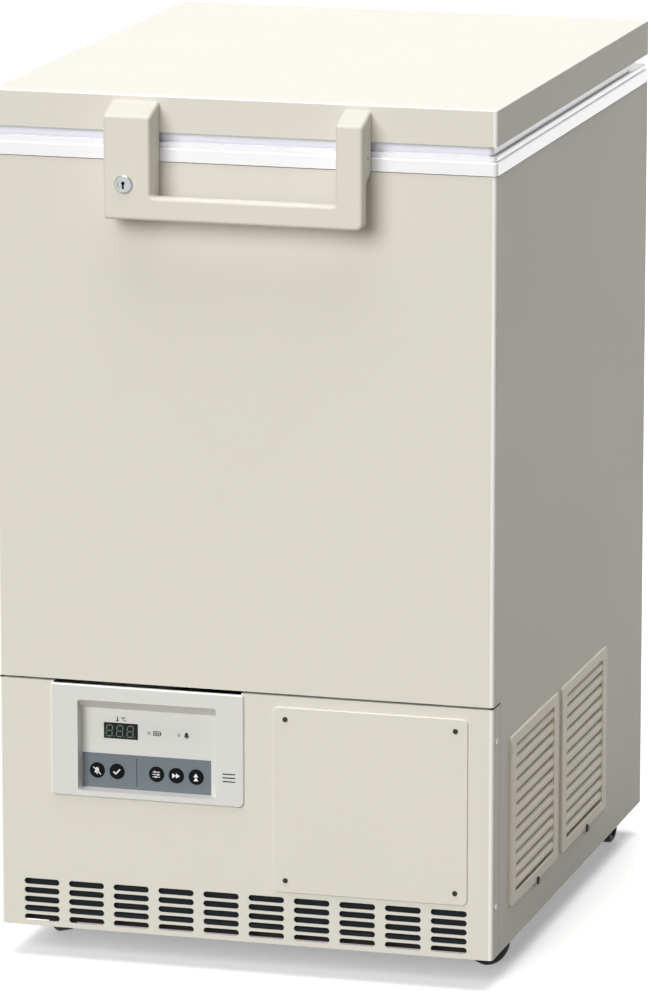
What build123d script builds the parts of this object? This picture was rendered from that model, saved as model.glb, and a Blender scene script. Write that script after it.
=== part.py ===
from build123d import *
import os
from math import cos, radians, sin

# A compact chest freezer for ultra low temperatures, on casters, built from its separate pieces.
# Millimetres: X runs to the right, Y to the back, Z up from the floor, with the origin on the floor
# under the middle of the whole freezer.

os.makedirs("parts", exist_ok=True)

# Cabinet
WIDTH = 550.0  # across the lid and the collar
DEPTH = 685.0  # front of the lid to its back
HEIGHT = 945.0  # floor to the top of the lid
BODY_INSET = 1.0  # the steel cabinet stands this far inside the lid
SHEET = 1.2
EDGE_RADIUS = 5.0  # fold of the sheet at the upright front edges
SKIRT_GAP = 36.0  # floor to the lower edge of the panels
SEAT = 0.3  # room between pieces that sit in or beside one another
RUNNING = 0.05  # room round a pin or shaft that turns
SEAM = 1.0  # open joint between two panels

# Lid, gasket and collar
LID_SKIRT = 38.5
LID_EDGE = 1.5
GASKET_HEIGHT = 10.5
GASKET_INSET = 6.0
GASKET_BACK_INSET = 60.0  # the gasket stops this far short of the lid's back
GASKET_WIDTH = 24.0
GASKET_REBATE = 1.6
COLLAR_HEIGHT = 20.0
COLLAR_FACE = 14.0
COLLAR_STEP = 2.0
COLLAR_GROOVE = 1.0
THROAT_WALL = 2.5
THROAT_DEPTH = 22.0
PLUG_DEPTH = 36.0
PLUG_GAP = 6.0
PLUG_WALL = 2.5
PLUG_DRAFT = 2.0  # degrees

# Chamber
SIDE_INSULATION = 72.5  # side of the lid to the chamber
END_INSULATION = 97.5  # front and back of the lid to the chamber
FLOOR_INSULATION = 131.8
CHAMBER_RADIUS = 25.0
LINER_SHEET = 1.0
LINER_RIM = 18.0
COIL_SPACE = 11.0  # between the liner and the foam
TUBE_WIDTH = 8.0
TUBE_HEIGHT = 9.0
COIL_TURNS = 4
COIL_START = 60.0  # first turn above the chamber floor
COIL_TOP_GAP = 140.0  # last turn to the top of the chamber
PIPE_RADIUS = 4.0

# Handle and lock
HANDLE_WIDTH = 281.0
HANDLE_REACH = 34.0
HANDLE_DROP = 88.5  # lower edge of the lid to the underside of the bar
HANDLE_CREST = 33.0  # lower edge of the lid to the top of the handle at the lid
HANDLE_SLOPE = 12.0  # fall of the handle's top towards the front
HANDLE_ROUND = 3.5
GRIP_DEPTH = 13.0
BAR_HEIGHT = 25.0
LEFT_LEG = 51.5
RIGHT_LEG = 29.5
RIGHT_LEG_DROP = 31.0  # how far the right leg stays deep below the lid
LEG_KNEE = 8.0
LEG_GAP = 1.5  # between the legs and the cabinet
CORNER_ROUND = 8.0
DRAIN_RADIUS = 2.2
LOCK_PROUD = 3.0
LOCK_RADIUS = 9.5
BARREL_RADIUS = 8.0
CYLINDER_RADIUS = 6.0
CYLINDER_SETBACK = 0.75  # face of the lock ring to its cylinder
KEYHOLE_RADIUS = 2.0
KEYWAY_WIDTH = 2.2
KEYWAY_HEIGHT = 6.0
KEYWAY_DEPTH = 6.0
LOCK_INSET = 22.5  # outer edge of the left leg to the lock
LOCK_RISE = 38.0  # underside of the handle to the lock
POCKET_DEPTH = 18.5
POCKET_WALL = 5.0
POCKET_ROOF = 29.0  # lock to the top of the pocket
CAM_REACH = 17.0
CAM_THICK = 2.5
CAM_RADIUS = 4.0
KEEPER_WIDTH = 11.0
KEEPER_PLATE = 2.0
KEEPER_GAP = 2.0

# Hinges and back
HINGE_INSET = 95.0  # side of the lid to the middle of a hinge
HINGE_WIDTH = 60.0
LEAF = 3.0
KNUCKLE_RADIUS = 8.0
PIN_RADIUS = 4.0
BRACKET_DROP = 80.0
SPACER_REACH = 30.0
SPACER_WIDTH = 36.0
SPACER_HEIGHT = 60.0
SPACER_INSET = 40.0
SPACER_DROP = 220.0
REAR_FLANGE = 15.0
REAR_SLOT = 60.0
REAR_SLOT_HEIGHT = 6.0
REAR_SLOT_PITCH = 75.0
REAR_SLOT_RISE = 14.0
REAR_COLUMNS = 4
REAR_ROWS = 6

# Lower front panel
COVER_TOP = 309.0
SPLIT_GAP = 2.5
COVER_FLANGE = 28.0
COVER_LIP = 14.0
VENT_COLUMNS = 10
VENT_ROWS = 5
VENT_MARGIN = 22.5  # side of the panel to the first and last column
VENT_LAND = 10.8  # sheet left between two columns
VENT_HEIGHT = 6.8
VENT_RISE = 10.0
VENT_BASE = 45.0  # floor to the lowest row
PLATE_GAP = 32.7  # bezel to the plate
PLATE_HEIGHT = 203.0
PLATE_THICK = 2.0
PLATE_RADIUS = 6.0
PLATE_MARGIN = 27.5  # right edge of the panel to the plate
PLATE_DROP = 11.5  # top of the panel to the plate
PLATE_SCREW_INSET = 13.2
PLATE_LAP = 24.0

# Control bezel
BEZEL_WIDTH = 215.0
BEZEL_HEIGHT = 123.5
BEZEL_MARGIN = 60.0  # left edge of the panel to the bezel
BEZEL_DROP = 1.5  # top of the panel to the bezel
BEZEL_RADIUS = 6.0
BEZEL_PROUD = 3.0
BEZEL_EDGE = 2.2
BEZEL_WALL = 2.5
BEZEL_LAP = 3.0
RECESS_WIDTH = 154.4
RECESS_HEIGHT = 100.0
RECESS_DEPTH = 15.0
RECESS_DROP = 16.7  # top of the bezel to the recess
RECESS_RADIUS = 3.0
RECESS_SLOPE = 11.5  # fall of the recess's upper wall towards its floor
BAND_WIDTH = 143.5
BAND_HEIGHT = 38.0
BAND_THICK = 0.6
BAND_INSET = 0.8
KEY_RADIUS = 8.3
KEY_GAP = 0.25
KEY_PROUD = 1.2
KEY_TRAVEL = 0.8
KEY_FLANGE = 1.5
KEY_PITCH = 22.1
KEY_SKIP = 44.3  # step from the second key to the third
KEY_INSET = 17.3  # left edge of the recess to the first key
DISPLAY_WIDTH = 37.6
DISPLAY_HEIGHT = 17.0
DISPLAY_INSET = 25.0
DISPLAY_DROP = 27.0
DISPLAY_PROUD = 0.4
LENS_RADIUS = 1.6
LENS_INSET = 75.0
LENS_PITCH = 33.6
SLIT_LENGTH = 14.4
SLIT_HEIGHT = 1.3
SLIT_PITCH = 4.1
SLIT_INSET = 16.0
SLIT_RISE = 32.0
BOARD_THICK = 1.6
BOARD_MARGIN = 4.0
POST_RADIUS = 3.0
SWITCH_SIZE = 6.0
SWITCH_DEPTH = 2.2
BUZZER_RADIUS = 9.0
BUZZER_DEPTH = 7.0

# Side grilles
GRILLE_LENGTH = 207.0
GRILLE_HEIGHT = 188.0
GRILLE_BASE = 75.0
GRILLE_SETBACK = 72.0  # front of the cabinet to the first grille
GRILLE_STEP = 225.0  # first grille to the second
GRILLE_PROUD = 2.5
GRILLE_RADIUS = 5.0
GRILLE_EDGE = 1.2
GRILLE_WALL = 2.0
GRILLE_DEPTH = 11.0
FIELD_MARGIN = 19.5  # frame at the two upright sides of the blades
FIELD_BORDER = 11.5  # frame above and below the blades
BLADES = 12
BLADE_THICK = 1.6
BLADE_NOSE = 0.62  # share of the pitch from a blade's root down to its nose
BLADE_SETBACK = 6.5  # nose of a blade to its upper root
BLADE_HOOK = 2.6  # nose of a blade to its lower lip
BLADE_LAP = 0.8
BLADE_MARGIN = 2.0  # clear of the frame above the first blade and below the last
EAR_RADIUS = 7.0
EAR_SHIFT = 12.0

# Screws
SCREW_HEAD = 3.6
SCREW_RISE = 1.8
SCREW_BEVEL = 1.0
SCREW_SHANK = 1.9
SCREW_LENGTH = 7.0
CROSS_LENGTH = 3.4
CROSS_WIDTH = 0.9
CROSS_DEPTH = 0.8
PLATE_SCREW_HEAD = 2.8
PLATE_SCREW_RISE = 1.2
PLATE_SCREW_BEVEL = 0.5
FLANGE_SCREW_SETBACK = 10.8
FLANGE_SCREW_LOW = 93.2
FLANGE_SCREW_HIGH = 273.5
GRILLE_SCREW_HEAD = 4.5
GRILLE_SCREW_RISE = 2.6
GRILLE_SCREW_BEVEL = 1.4

# Base and casters
WHEEL_RADIUS = 25.0
WHEEL_WIDTH = 18.0
TREAD_BEVEL = 2.5
HUB_RADIUS = 9.0
RIM_RADIUS = 18.0
RIM_DEPTH = 2.5
AXLE_RADIUS = 3.0
FORK_SHEET = 2.5
FORK_ROOM = 1.0
FORK_EYE = 8.0
NUT_RADIUS = 5.0
NUT_HEIGHT = 3.0
CROWN_ROOM = 2.0
CROWN_SHEET = 2.5
CROWN_RADIUS = 17.0
RACE_HEIGHT = 9.0
CASTER_PLATE = 2.5
CASTER_PLATE_WIDTH = 46.0
KINGPIN_RADIUS = 4.0
TRAIL = 20.0
FRONT_HEADING = 45.0  # degrees that the front casters are turned
FRONT_CASTER_INSET = 46.8  # side wall to the front casters
FRONT_CASTER_SETBACK = 98.0  # front of the lid to the front casters
REAR_CASTER_INSET = 26.8  # side wall to the rear casters
REAR_CASTER_REACH = 53.0  # rear axles to the back of the lid
PAN_SHEET = 1.6
PAN_SETBACK = 23.0
PAN_FLANGE = 31.0

# Machine space
FILTER_MARGIN = 24.0
FILTER_HEIGHT = 46.0
FILTER_FRAME = 6.0
FILTER_DEPTH = 6.0
FILTER_MESH = 1.0
FILTER_BASE = 50.0
CONDENSER_MARGIN = 142.8  # left wall to the condenser
CONDENSER_GAP = 16.0  # condenser to the battery
CONDENSER_HEIGHT = 130.0
CONDENSER_DEPTH = 40.0
CONDENSER_SETBACK = 60.0
CONDENSER_FINS = 26
FIN_SLOT = 3.0
FIN_CUT = 12.0
BEND_RADIUS = 12.0
BEND_COUNT = 3
FAN_RADIUS = 56.0
FAN_HUB = 20.0
FAN_HUB_DEPTH = 22.0
FAN_BLADES = 5
FAN_CHORD = 30.0
FAN_BLADE_THICK = 2.0
FAN_ROOT_PITCH = 42.0
FAN_TIP_PITCH = 24.0
FAN_TIP_GAP = 4.0
SHAFT_RADIUS = 4.0
SHROUD_SHEET = 1.5
SHROUD_RING = 20.0
MOTOR_RADIUS = 32.0
MOTOR_LENGTH = 46.0
MOTOR_GAP = 3.0
ARM_WIDTH = 12.0
COMPRESSOR_RADIUS = 80.0
COMPRESSOR_HEIGHT = 185.0
COMPRESSOR_MARGIN = 162.8  # left wall to the compressor's middle
COMPRESSOR_REACH = 205.0  # compressor's middle to the back of the lid
COMPRESSOR_DOME = 45.0
COMPRESSOR_BEAD = 3.0
FOOT_SHEET = 3.0
FOOT_WIDTH = 150.0  # stud to stud
FOOT_MARGIN = 14.0
MOUNT_RADIUS = 11.0
MOUNT_HEIGHT = 10.0
STUD_RADIUS = 4.0
TERMINAL_WIDTH = 46.0
TERMINAL_HEIGHT = 60.0
TERMINAL_DEPTH = 26.0
PIPE_BEND = 14.0
PIPE_RISE = 18.0  # discharge pipe above the condenser
SUCTION_DROP = 100.0
DRIER_RADIUS = 12.0
DRIER_LENGTH = 90.0
DRIER_SETBACK = 150.0
CAPILLARY_RADIUS = 2.0
CAPILLARY_BEND = 12.0
CAPILLARY_SETBACK = 300.0
BOX_DEPTH = 110.0
BOX_HEIGHT = 130.0
BOX_GAP = 76.0  # compressor's feet to the box
BOX_MARGIN = 67.8  # right wall to the box
BOX_REACH = 125.0  # middle of the box to the back of the lid
BOX_RADIUS = 4.0
BOX_LID = 3.0
BATTERY_WIDTH = 52.0
BATTERY_DEPTH = 70.0
BATTERY_HEIGHT = 50.0
BATTERY_MARGIN = 14.8  # right wall to the battery
BATTERY_SETBACK = 70.0
ENTRY_WIDTH = 30.0
ENTRY_HEIGHT = 62.0
ENTRY_DEPTH = 24.0
ENTRY_FLANGE = 4.0
ENTRY_FLANGE_THICK = 2.0
ENTRY_MARGIN = 82.8  # right wall to the middle of the power entry
ENTRY_Z = 120.0
INLET_WIDTH = 24.0
INLET_HEIGHT = 17.0
INLET_DEPTH = 16.0
INLET_RISE = -16.0
PRONG_RADIUS = 1.6
PRONG_PITCH = 7.0
PRONG_LENGTH = 13.0
ROCKER_WIDTH = 15.0
ROCKER_HEIGHT = 21.0
ROCKER_RISE = 15.0
ROCKER_ROOM = 1.0
ROCKER_TILT = 10.0  # degrees that the rocker leans at rest
ROCKER_PROUD = 3.0
PIVOT_RADIUS = 1.5

# Access port and sensor
PORT_RADIUS = 8.5
PORT_WALL = 2.5
PORT_FLANGE = 8.0
PORT_FLANGE_THICK = 3.0
PORT_X = 60.0
PORT_DROP = 95.0  # top of the cabinet to the port
STOPPER_LENGTH = 32.0
STOPPER_HEAD = 6.0
STOPPER_LIP = 3.0
STOPPER_CHAMFER = 1.0
SENSOR_RADIUS = 4.0
SENSOR_LENGTH = 110.0
SENSOR_DROP = 60.0
SENSOR_STAND = 4.0
CLIP_HEIGHT = 10.0

# Heights that follow
LID_BASE = HEIGHT - LID_SKIRT
COLLAR_TOP = LID_BASE - GASKET_HEIGHT
COLLAR_BASE = COLLAR_TOP - COLLAR_HEIGHT
BODY_TOP = COLLAR_BASE - LINER_SHEET
PLUG_BASE = LID_BASE - PLUG_DEPTH
WRAP_FRONT_BASE = COVER_TOP + SPLIT_GAP
FOAM_BASE = WRAP_FRONT_BASE + SHEET
LINER_BASE = FOAM_BASE + FLOOR_INSULATION
CHAMBER_FLOOR = LINER_BASE + LINER_SHEET
CHAMBER_HEIGHT = PLUG_BASE - CHAMBER_FLOOR
COIL_PITCH = (CHAMBER_HEIGHT - COIL_START - COIL_TOP_GAP) / (COIL_TURNS - 1)
CROWN_BASE = 2 * WHEEL_RADIUS + CROWN_ROOM
PAN_BASE = CROWN_BASE + CROWN_SHEET + RACE_HEIGHT + CASTER_PLATE
PAN_TOP = PAN_BASE + PAN_SHEET

# Depths that follow
FRONT = (HANDLE_REACH + LOCK_PROUD - DEPTH - SPACER_REACH) / 2
BACK = FRONT + DEPTH
MIDDLE = FRONT + DEPTH / 2
BODY_FRONT = FRONT + BODY_INSET
BODY_BACK = BACK - BODY_INSET
BODY_WIDTH = WIDTH - 2 * BODY_INSET
BODY_DEPTH = DEPTH - 2 * BODY_INSET
SIDE = BODY_WIDTH / 2
INNER_SIDE = SIDE - SHEET
CHAMBER_WIDTH = WIDTH - 2 * SIDE_INSULATION
CHAMBER_DEPTH = DEPTH - 2 * END_INSULATION
MOUTH_WIDTH = CHAMBER_WIDTH - 2 * (SEAT + THROAT_WALL)
MOUTH_DEPTH = CHAMBER_DEPTH - 2 * (SEAT + THROAT_WALL)
MOUTH_RADIUS = CHAMBER_RADIUS - SEAT - THROAT_WALL
LINER_WIDTH = CHAMBER_WIDTH + 2 * LINER_SHEET
LINER_DEPTH = CHAMBER_DEPTH + 2 * LINER_SHEET


def upright(y):
    """A sketch plane across the freezer at depth y, seen from the front: X and Z."""
    return Plane((0, y, 0), x_dir=(1, 0, 0), z_dir=(0, -1, 0))


def sideways(x):
    """A sketch plane along the freezer at x, seen from the right: Y and Z."""
    return Plane((x, 0, 0), x_dir=(0, 1, 0), z_dir=(1, 0, 0))


def level(z):
    """A sketch plane at height z, with its middle over the middle of the cabinet."""
    return Plane((0, MIDDLE, z))


def keep(piece, name):
    """Labels a finished piece and writes it out."""
    piece.part.label = name
    export_step(piece.part, f"parts/{name}.step")


def sheet_channel(front, back):
    """Draws a U of folded sheet, closed at the front, in the open sketch."""
    with Locations((0, (front + back) / 2)):
        Rectangle(BODY_WIDTH, back - front)
    fillet(vertices().group_by(Axis.Y)[0], EDGE_RADIUS)
    offset(amount=-SHEET, mode=Mode.SUBTRACT)
    with Locations((0, back)):
        Rectangle(BODY_WIDTH - 2 * SHEET, 2 * SHEET, mode=Mode.SUBTRACT)


# Places on the panels
COVER_MIDDLE = (SKIRT_GAP + COVER_TOP) / 2
BEZEL_X = -SIDE + BEZEL_MARGIN + BEZEL_WIDTH / 2
BEZEL_TOP = COVER_TOP - BEZEL_DROP
BEZEL_Z = BEZEL_TOP - BEZEL_HEIGHT / 2
BEZEL_RIGHT = BEZEL_X + BEZEL_WIDTH / 2
BEZEL_BASE = BEZEL_TOP - BEZEL_HEIGHT
RECESS_TOP = BEZEL_TOP - RECESS_DROP
RECESS_Z = RECESS_TOP - RECESS_HEIGHT / 2
RECESS_BASE = RECESS_TOP - RECESS_HEIGHT
RECESS_LEFT = BEZEL_X - RECESS_WIDTH / 2
BEZEL_FACE = BODY_FRONT - BEZEL_PROUD
FLOOR_FACE = BEZEL_FACE + RECESS_DEPTH
FLOOR_BACK = FLOOR_FACE + BEZEL_WALL
FIRST_KEY = RECESS_LEFT + KEY_INSET
THIRD_KEY = FIRST_KEY + KEY_PITCH + KEY_SKIP
KEYS = {
    "mute_key": FIRST_KEY,
    "test_key": FIRST_KEY + KEY_PITCH,
    "set_key": THIRD_KEY,
    "shift_key": THIRD_KEY + KEY_PITCH,
    "raise_key": THIRD_KEY + 2 * KEY_PITCH,
}
BAND_X = RECESS_LEFT + BAND_INSET + BAND_WIDTH / 2
BAND_Z = RECESS_BASE + BAND_INSET + BAND_HEIGHT / 2
KEY_FACE = FLOOR_FACE - BAND_THICK - KEY_PROUD
KEY_FLANGE_FACE = FLOOR_BACK + SEAT
KEY_BACK = KEY_FLANGE_FACE + KEY_FLANGE
BOARD_FACE = KEY_BACK + KEY_TRAVEL + SEAT + SWITCH_DEPTH
DISPLAY_X = RECESS_LEFT + DISPLAY_INSET + DISPLAY_WIDTH / 2
DISPLAY_Z = RECESS_TOP - DISPLAY_DROP - DISPLAY_HEIGHT / 2
LENSES = [(RECESS_LEFT + LENS_INSET + i * LENS_PITCH, DISPLAY_Z) for i in range(2)]
SLIT_X = BEZEL_RIGHT - SLIT_INSET
SLIT_Z = BEZEL_BASE + SLIT_RISE
BOARD_WIDTH = RECESS_WIDTH - 2 * BOARD_MARGIN
BOARD_HEIGHT = RECESS_HEIGHT - 2 * BOARD_MARGIN
POST_WIDTH = BOARD_WIDTH - 2 * POST_RADIUS
POST_HEIGHT = BOARD_HEIGHT - 2 * POST_RADIUS
VENT_PITCH = (BODY_WIDTH - 2 * VENT_MARGIN) / VENT_COLUMNS
VENT_LENGTH = VENT_PITCH - VENT_LAND
PLATE_WIDTH = BODY_WIDTH - BEZEL_MARGIN - BEZEL_WIDTH - PLATE_GAP - PLATE_MARGIN
PLATE_X = SIDE - PLATE_MARGIN - PLATE_WIDTH / 2
PLATE_Z = COVER_TOP - PLATE_DROP - PLATE_HEIGHT / 2
PLATE_SCREW_WIDTH = PLATE_WIDTH - 2 * PLATE_SCREW_INSET
PLATE_SCREW_HEIGHT = PLATE_HEIGHT - 2 * PLATE_SCREW_INSET
FLANGE_SCREWS = [
    (BODY_FRONT + FLANGE_SCREW_SETBACK, FLANGE_SCREW_LOW),
    (BODY_FRONT + FLANGE_SCREW_SETBACK, FLANGE_SCREW_HIGH),
]
GRILLE_Z = GRILLE_BASE + GRILLE_HEIGHT / 2
GRILLE_MIDDLES = [FRONT + GRILLE_SETBACK + GRILLE_LENGTH / 2 + i * GRILLE_STEP for i in range(2)]
FIELD_LENGTH = GRILLE_LENGTH - 2 * FIELD_MARGIN
FIELD_HEIGHT = GRILLE_HEIGHT - 2 * FIELD_BORDER
ENTRY_X = INNER_SIDE - ENTRY_MARGIN
PORT_Z = BODY_TOP - PORT_DROP
SLEEVE_RADIUS = PORT_RADIUS + PORT_WALL
COIL_X = LINER_WIDTH / 2 + SEAT + TUBE_WIDTH / 2
COMPRESSOR_X = COMPRESSOR_MARGIN - INNER_SIDE
COMPRESSOR_Y = BACK - COMPRESSOR_REACH
CAPILLARY_Y = FRONT + CAPILLARY_SETBACK
PIPE_HOLES = [(-COIL_X, COMPRESSOR_Y - MIDDLE), (COIL_X, CAPILLARY_Y - MIDDLE)]

# Cabinet shell

with BuildPart() as cabinet_wrap:
    with BuildSketch(Plane.XY.offset(SKIRT_GAP)):
        sheet_channel(BODY_FRONT, BODY_BACK)
    extrude(amount=BODY_TOP - SKIRT_GAP)
    # The lower front panel closes this part of the front.
    with BuildSketch(Plane.XY.offset(SKIRT_GAP)):
        with Locations((0, BODY_FRONT)):
            Rectangle(BODY_WIDTH, 2 * (COVER_FLANGE + SEAM))
    extrude(amount=WRAP_FRONT_BASE - SKIRT_GAP, mode=Mode.SUBTRACT)
    with BuildSketch(sideways(SIDE)):
        with Locations(*[(y, GRILLE_Z) for y in GRILLE_MIDDLES]):
            Rectangle(FIELD_LENGTH + 2 * (GRILLE_WALL + SEAT), FIELD_HEIGHT + 2 * (GRILLE_WALL + SEAT))
        with Locations(*[(y + EAR_SHIFT, GRILLE_BASE) for y in GRILLE_MIDDLES]):
            Circle(SCREW_SHANK + SEAT)
    extrude(amount=-SHEET, mode=Mode.SUBTRACT)
keep(cabinet_wrap, "cabinet_wrap")

with BuildPart() as back_panel:
    with BuildSketch(upright(BODY_BACK)):
        with Locations((0, (WRAP_FRONT_BASE + BODY_TOP) / 2)):
            Rectangle(2 * INNER_SIDE, BODY_TOP - WRAP_FRONT_BASE)
        with Locations((PORT_X, PORT_Z)):
            Circle(SLEEVE_RADIUS + SEAT, mode=Mode.SUBTRACT)
    extrude(amount=SHEET)
keep(back_panel, "back_panel")

REAR_SCREWS = [
    (side * (INNER_SIDE - REAR_FLANGE), z)
    for side in (-1, 1)
    for z in (FLANGE_SCREW_LOW, FLANGE_SCREW_HIGH)
]

with BuildPart() as rear_cover:
    with BuildSketch(upright(BODY_BACK)):
        with Locations((0, COVER_MIDDLE)):
            Rectangle(2 * INNER_SIDE, COVER_TOP - SKIRT_GAP)
        with Locations((-INNER_SIDE / 3, COVER_MIDDLE)):
            with GridLocations(REAR_SLOT_PITCH, REAR_SLOT_RISE, REAR_COLUMNS, REAR_ROWS):
                SlotOverall(REAR_SLOT, REAR_SLOT_HEIGHT, mode=Mode.SUBTRACT)
        with Locations((ENTRY_X, ENTRY_Z)):
            Rectangle(ENTRY_WIDTH + 2 * SEAT, ENTRY_HEIGHT + 2 * SEAT, mode=Mode.SUBTRACT)
        with Locations(*REAR_SCREWS):
            Circle(SCREW_SHANK + SEAT, mode=Mode.SUBTRACT)
    extrude(amount=SHEET)
    with BuildSketch(upright(BODY_BACK - SHEET)):
        for side in (-1, 1):
            with Locations((side * (INNER_SIDE - SHEET / 2), COVER_MIDDLE)):
                Rectangle(SHEET, COVER_TOP - SKIRT_GAP)
    extrude(amount=REAR_FLANGE)
keep(rear_cover, "rear_cover")

with BuildPart() as compartment_ceiling:
    with BuildSketch(level(WRAP_FRONT_BASE)):
        Rectangle(2 * INNER_SIDE, BODY_DEPTH - 2 * SHEET)
        fillet(vertices().group_by(Axis.Y)[0], EDGE_RADIUS)
        with Locations(*PIPE_HOLES):
            Circle(PIPE_RADIUS + SEAT, mode=Mode.SUBTRACT)
    extrude(amount=SHEET)
keep(compartment_ceiling, "compartment_ceiling")

with BuildPart() as insulation_foam:
    with BuildSketch(level(FOAM_BASE)):
        Rectangle(2 * (INNER_SIDE - SEAT), BODY_DEPTH - 2 * (SHEET + SEAT))
        fillet(vertices().group_by(Axis.Y)[0], EDGE_RADIUS)
        with Locations(*PIPE_HOLES):
            Circle(PIPE_RADIUS + SEAT, mode=Mode.SUBTRACT)
    extrude(amount=BODY_TOP - FOAM_BASE)
    with BuildSketch(level(LINER_BASE)):
        RectangleRounded(
            LINER_WIDTH + 2 * COIL_SPACE, LINER_DEPTH + 2 * COIL_SPACE, CHAMBER_RADIUS + COIL_SPACE
        )
    extrude(amount=BODY_TOP - LINER_BASE, mode=Mode.SUBTRACT)
    with BuildSketch(upright(BODY_BACK)):
        with Locations((PORT_X, PORT_Z)):
            Circle(SLEEVE_RADIUS + SEAT)
    extrude(amount=(BODY_DEPTH - LINER_DEPTH) / 2, mode=Mode.SUBTRACT)
keep(insulation_foam, "insulation_foam")

with BuildPart() as chamber_liner:
    with BuildSketch(level(LINER_BASE)):
        RectangleRounded(LINER_WIDTH, LINER_DEPTH, CHAMBER_RADIUS + LINER_SHEET)
    extrude(amount=COLLAR_BASE - LINER_BASE)
    with BuildSketch(level(BODY_TOP)):
        RectangleRounded(
            LINER_WIDTH + 2 * LINER_RIM, LINER_DEPTH + 2 * LINER_RIM, CHAMBER_RADIUS + LINER_RIM
        )
    extrude(amount=LINER_SHEET)
    with BuildSketch(level(CHAMBER_FLOOR)):
        RectangleRounded(CHAMBER_WIDTH, CHAMBER_DEPTH, CHAMBER_RADIUS)
    extrude(amount=COLLAR_BASE - CHAMBER_FLOOR, mode=Mode.SUBTRACT)
    with BuildSketch(upright(MIDDLE + LINER_DEPTH / 2)):
        with Locations((PORT_X, PORT_Z)):
            Circle(SLEEVE_RADIUS + SEAT)
    extrude(amount=LINER_SHEET, mode=Mode.SUBTRACT)
keep(chamber_liner, "chamber_liner")

with BuildPart() as evaporator_coil:
    # The tube is flattened against the liner, so each turn is a flat band round it.
    for turn in range(COIL_TURNS):
        with BuildSketch(level(CHAMBER_FLOOR + COIL_START + turn * COIL_PITCH)):
            RectangleRounded(
                LINER_WIDTH + 2 * (SEAT + TUBE_WIDTH),
                LINER_DEPTH + 2 * (SEAT + TUBE_WIDTH),
                CHAMBER_RADIUS + LINER_SHEET + SEAT + TUBE_WIDTH,
            )
            offset(amount=-TUBE_WIDTH, mode=Mode.SUBTRACT)
        extrude(amount=TUBE_HEIGHT)
    # One riser links each pair of turns, on the left and on the right by turns.
    for turn in range(COIL_TURNS - 1):
        with BuildSketch(level(CHAMBER_FLOOR + COIL_START + turn * COIL_PITCH)):
            with Locations(((-1) ** turn * COIL_X, 0)):
                Rectangle(TUBE_WIDTH, TUBE_HEIGHT)
        extrude(amount=COIL_PITCH)
    with BuildSketch(level(WRAP_FRONT_BASE)):
        with Locations(*PIPE_HOLES):
            Circle(PIPE_RADIUS)
    extrude(amount=CHAMBER_FLOOR + COIL_START + TUBE_HEIGHT / 2 - WRAP_FRONT_BASE)
keep(evaporator_coil, "evaporator_coil")

with BuildPart() as top_collar:
    with BuildSketch(level(COLLAR_BASE)):
        RectangleRounded(WIDTH, DEPTH, EDGE_RADIUS)
    extrude(amount=COLLAR_FACE)
    chamfer(faces().sort_by(Axis.Z)[-1].edges(), COLLAR_GROOVE)
    # A fine groove parts the face from the ledge under the gasket.
    with BuildSketch(level(COLLAR_BASE + COLLAR_FACE)):
        groove_inset = COLLAR_STEP + COLLAR_GROOVE
        RectangleRounded(WIDTH - 2 * groove_inset, DEPTH - 2 * groove_inset, EDGE_RADIUS)
    extrude(amount=COLLAR_GROOVE)
    with BuildSketch(level(COLLAR_BASE + COLLAR_FACE + COLLAR_GROOVE)):
        RectangleRounded(WIDTH - 2 * COLLAR_STEP, DEPTH - 2 * COLLAR_STEP, EDGE_RADIUS)
    extrude(amount=COLLAR_HEIGHT - COLLAR_FACE - COLLAR_GROOVE)
    chamfer(faces().sort_by(Axis.Z)[-1].edges(), COLLAR_GROOVE)
    with BuildSketch(level(COLLAR_BASE)):
        RectangleRounded(CHAMBER_WIDTH - 2 * SEAT, CHAMBER_DEPTH - 2 * SEAT, CHAMBER_RADIUS - SEAT)
    extrude(amount=-THROAT_DEPTH)
    with BuildSketch(level(COLLAR_TOP)):
        RectangleRounded(MOUTH_WIDTH, MOUTH_DEPTH, MOUTH_RADIUS)
    extrude(amount=-(COLLAR_HEIGHT + THROAT_DEPTH), mode=Mode.SUBTRACT)
keep(top_collar, "top_collar")

with BuildPart() as temperature_sensor:
    SENSOR_X = CHAMBER_WIDTH / 2 - SENSOR_STAND - SENSOR_RADIUS
    SENSOR_TOP = COLLAR_BASE - THROAT_DEPTH - SENSOR_DROP
    with BuildSketch(level(SENSOR_TOP)):
        with Locations((SENSOR_X, 0)):
            Circle(SENSOR_RADIUS)
    extrude(amount=-SENSOR_LENGTH)
    fillet(edges().group_by(Axis.Z)[0], SENSOR_RADIUS / 2)
    for drop in (CLIP_HEIGHT, SENSOR_LENGTH - 2 * CLIP_HEIGHT):
        with BuildSketch(level(SENSOR_TOP - drop)):
            with Locations((CHAMBER_WIDTH / 2, 0)):
                Rectangle(SENSOR_STAND + SENSOR_RADIUS, SENSOR_RADIUS, align=(Align.MAX, Align.CENTER))
        extrude(amount=-CLIP_HEIGHT)
keep(temperature_sensor, "temperature_sensor")

# Access port through the back wall

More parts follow.
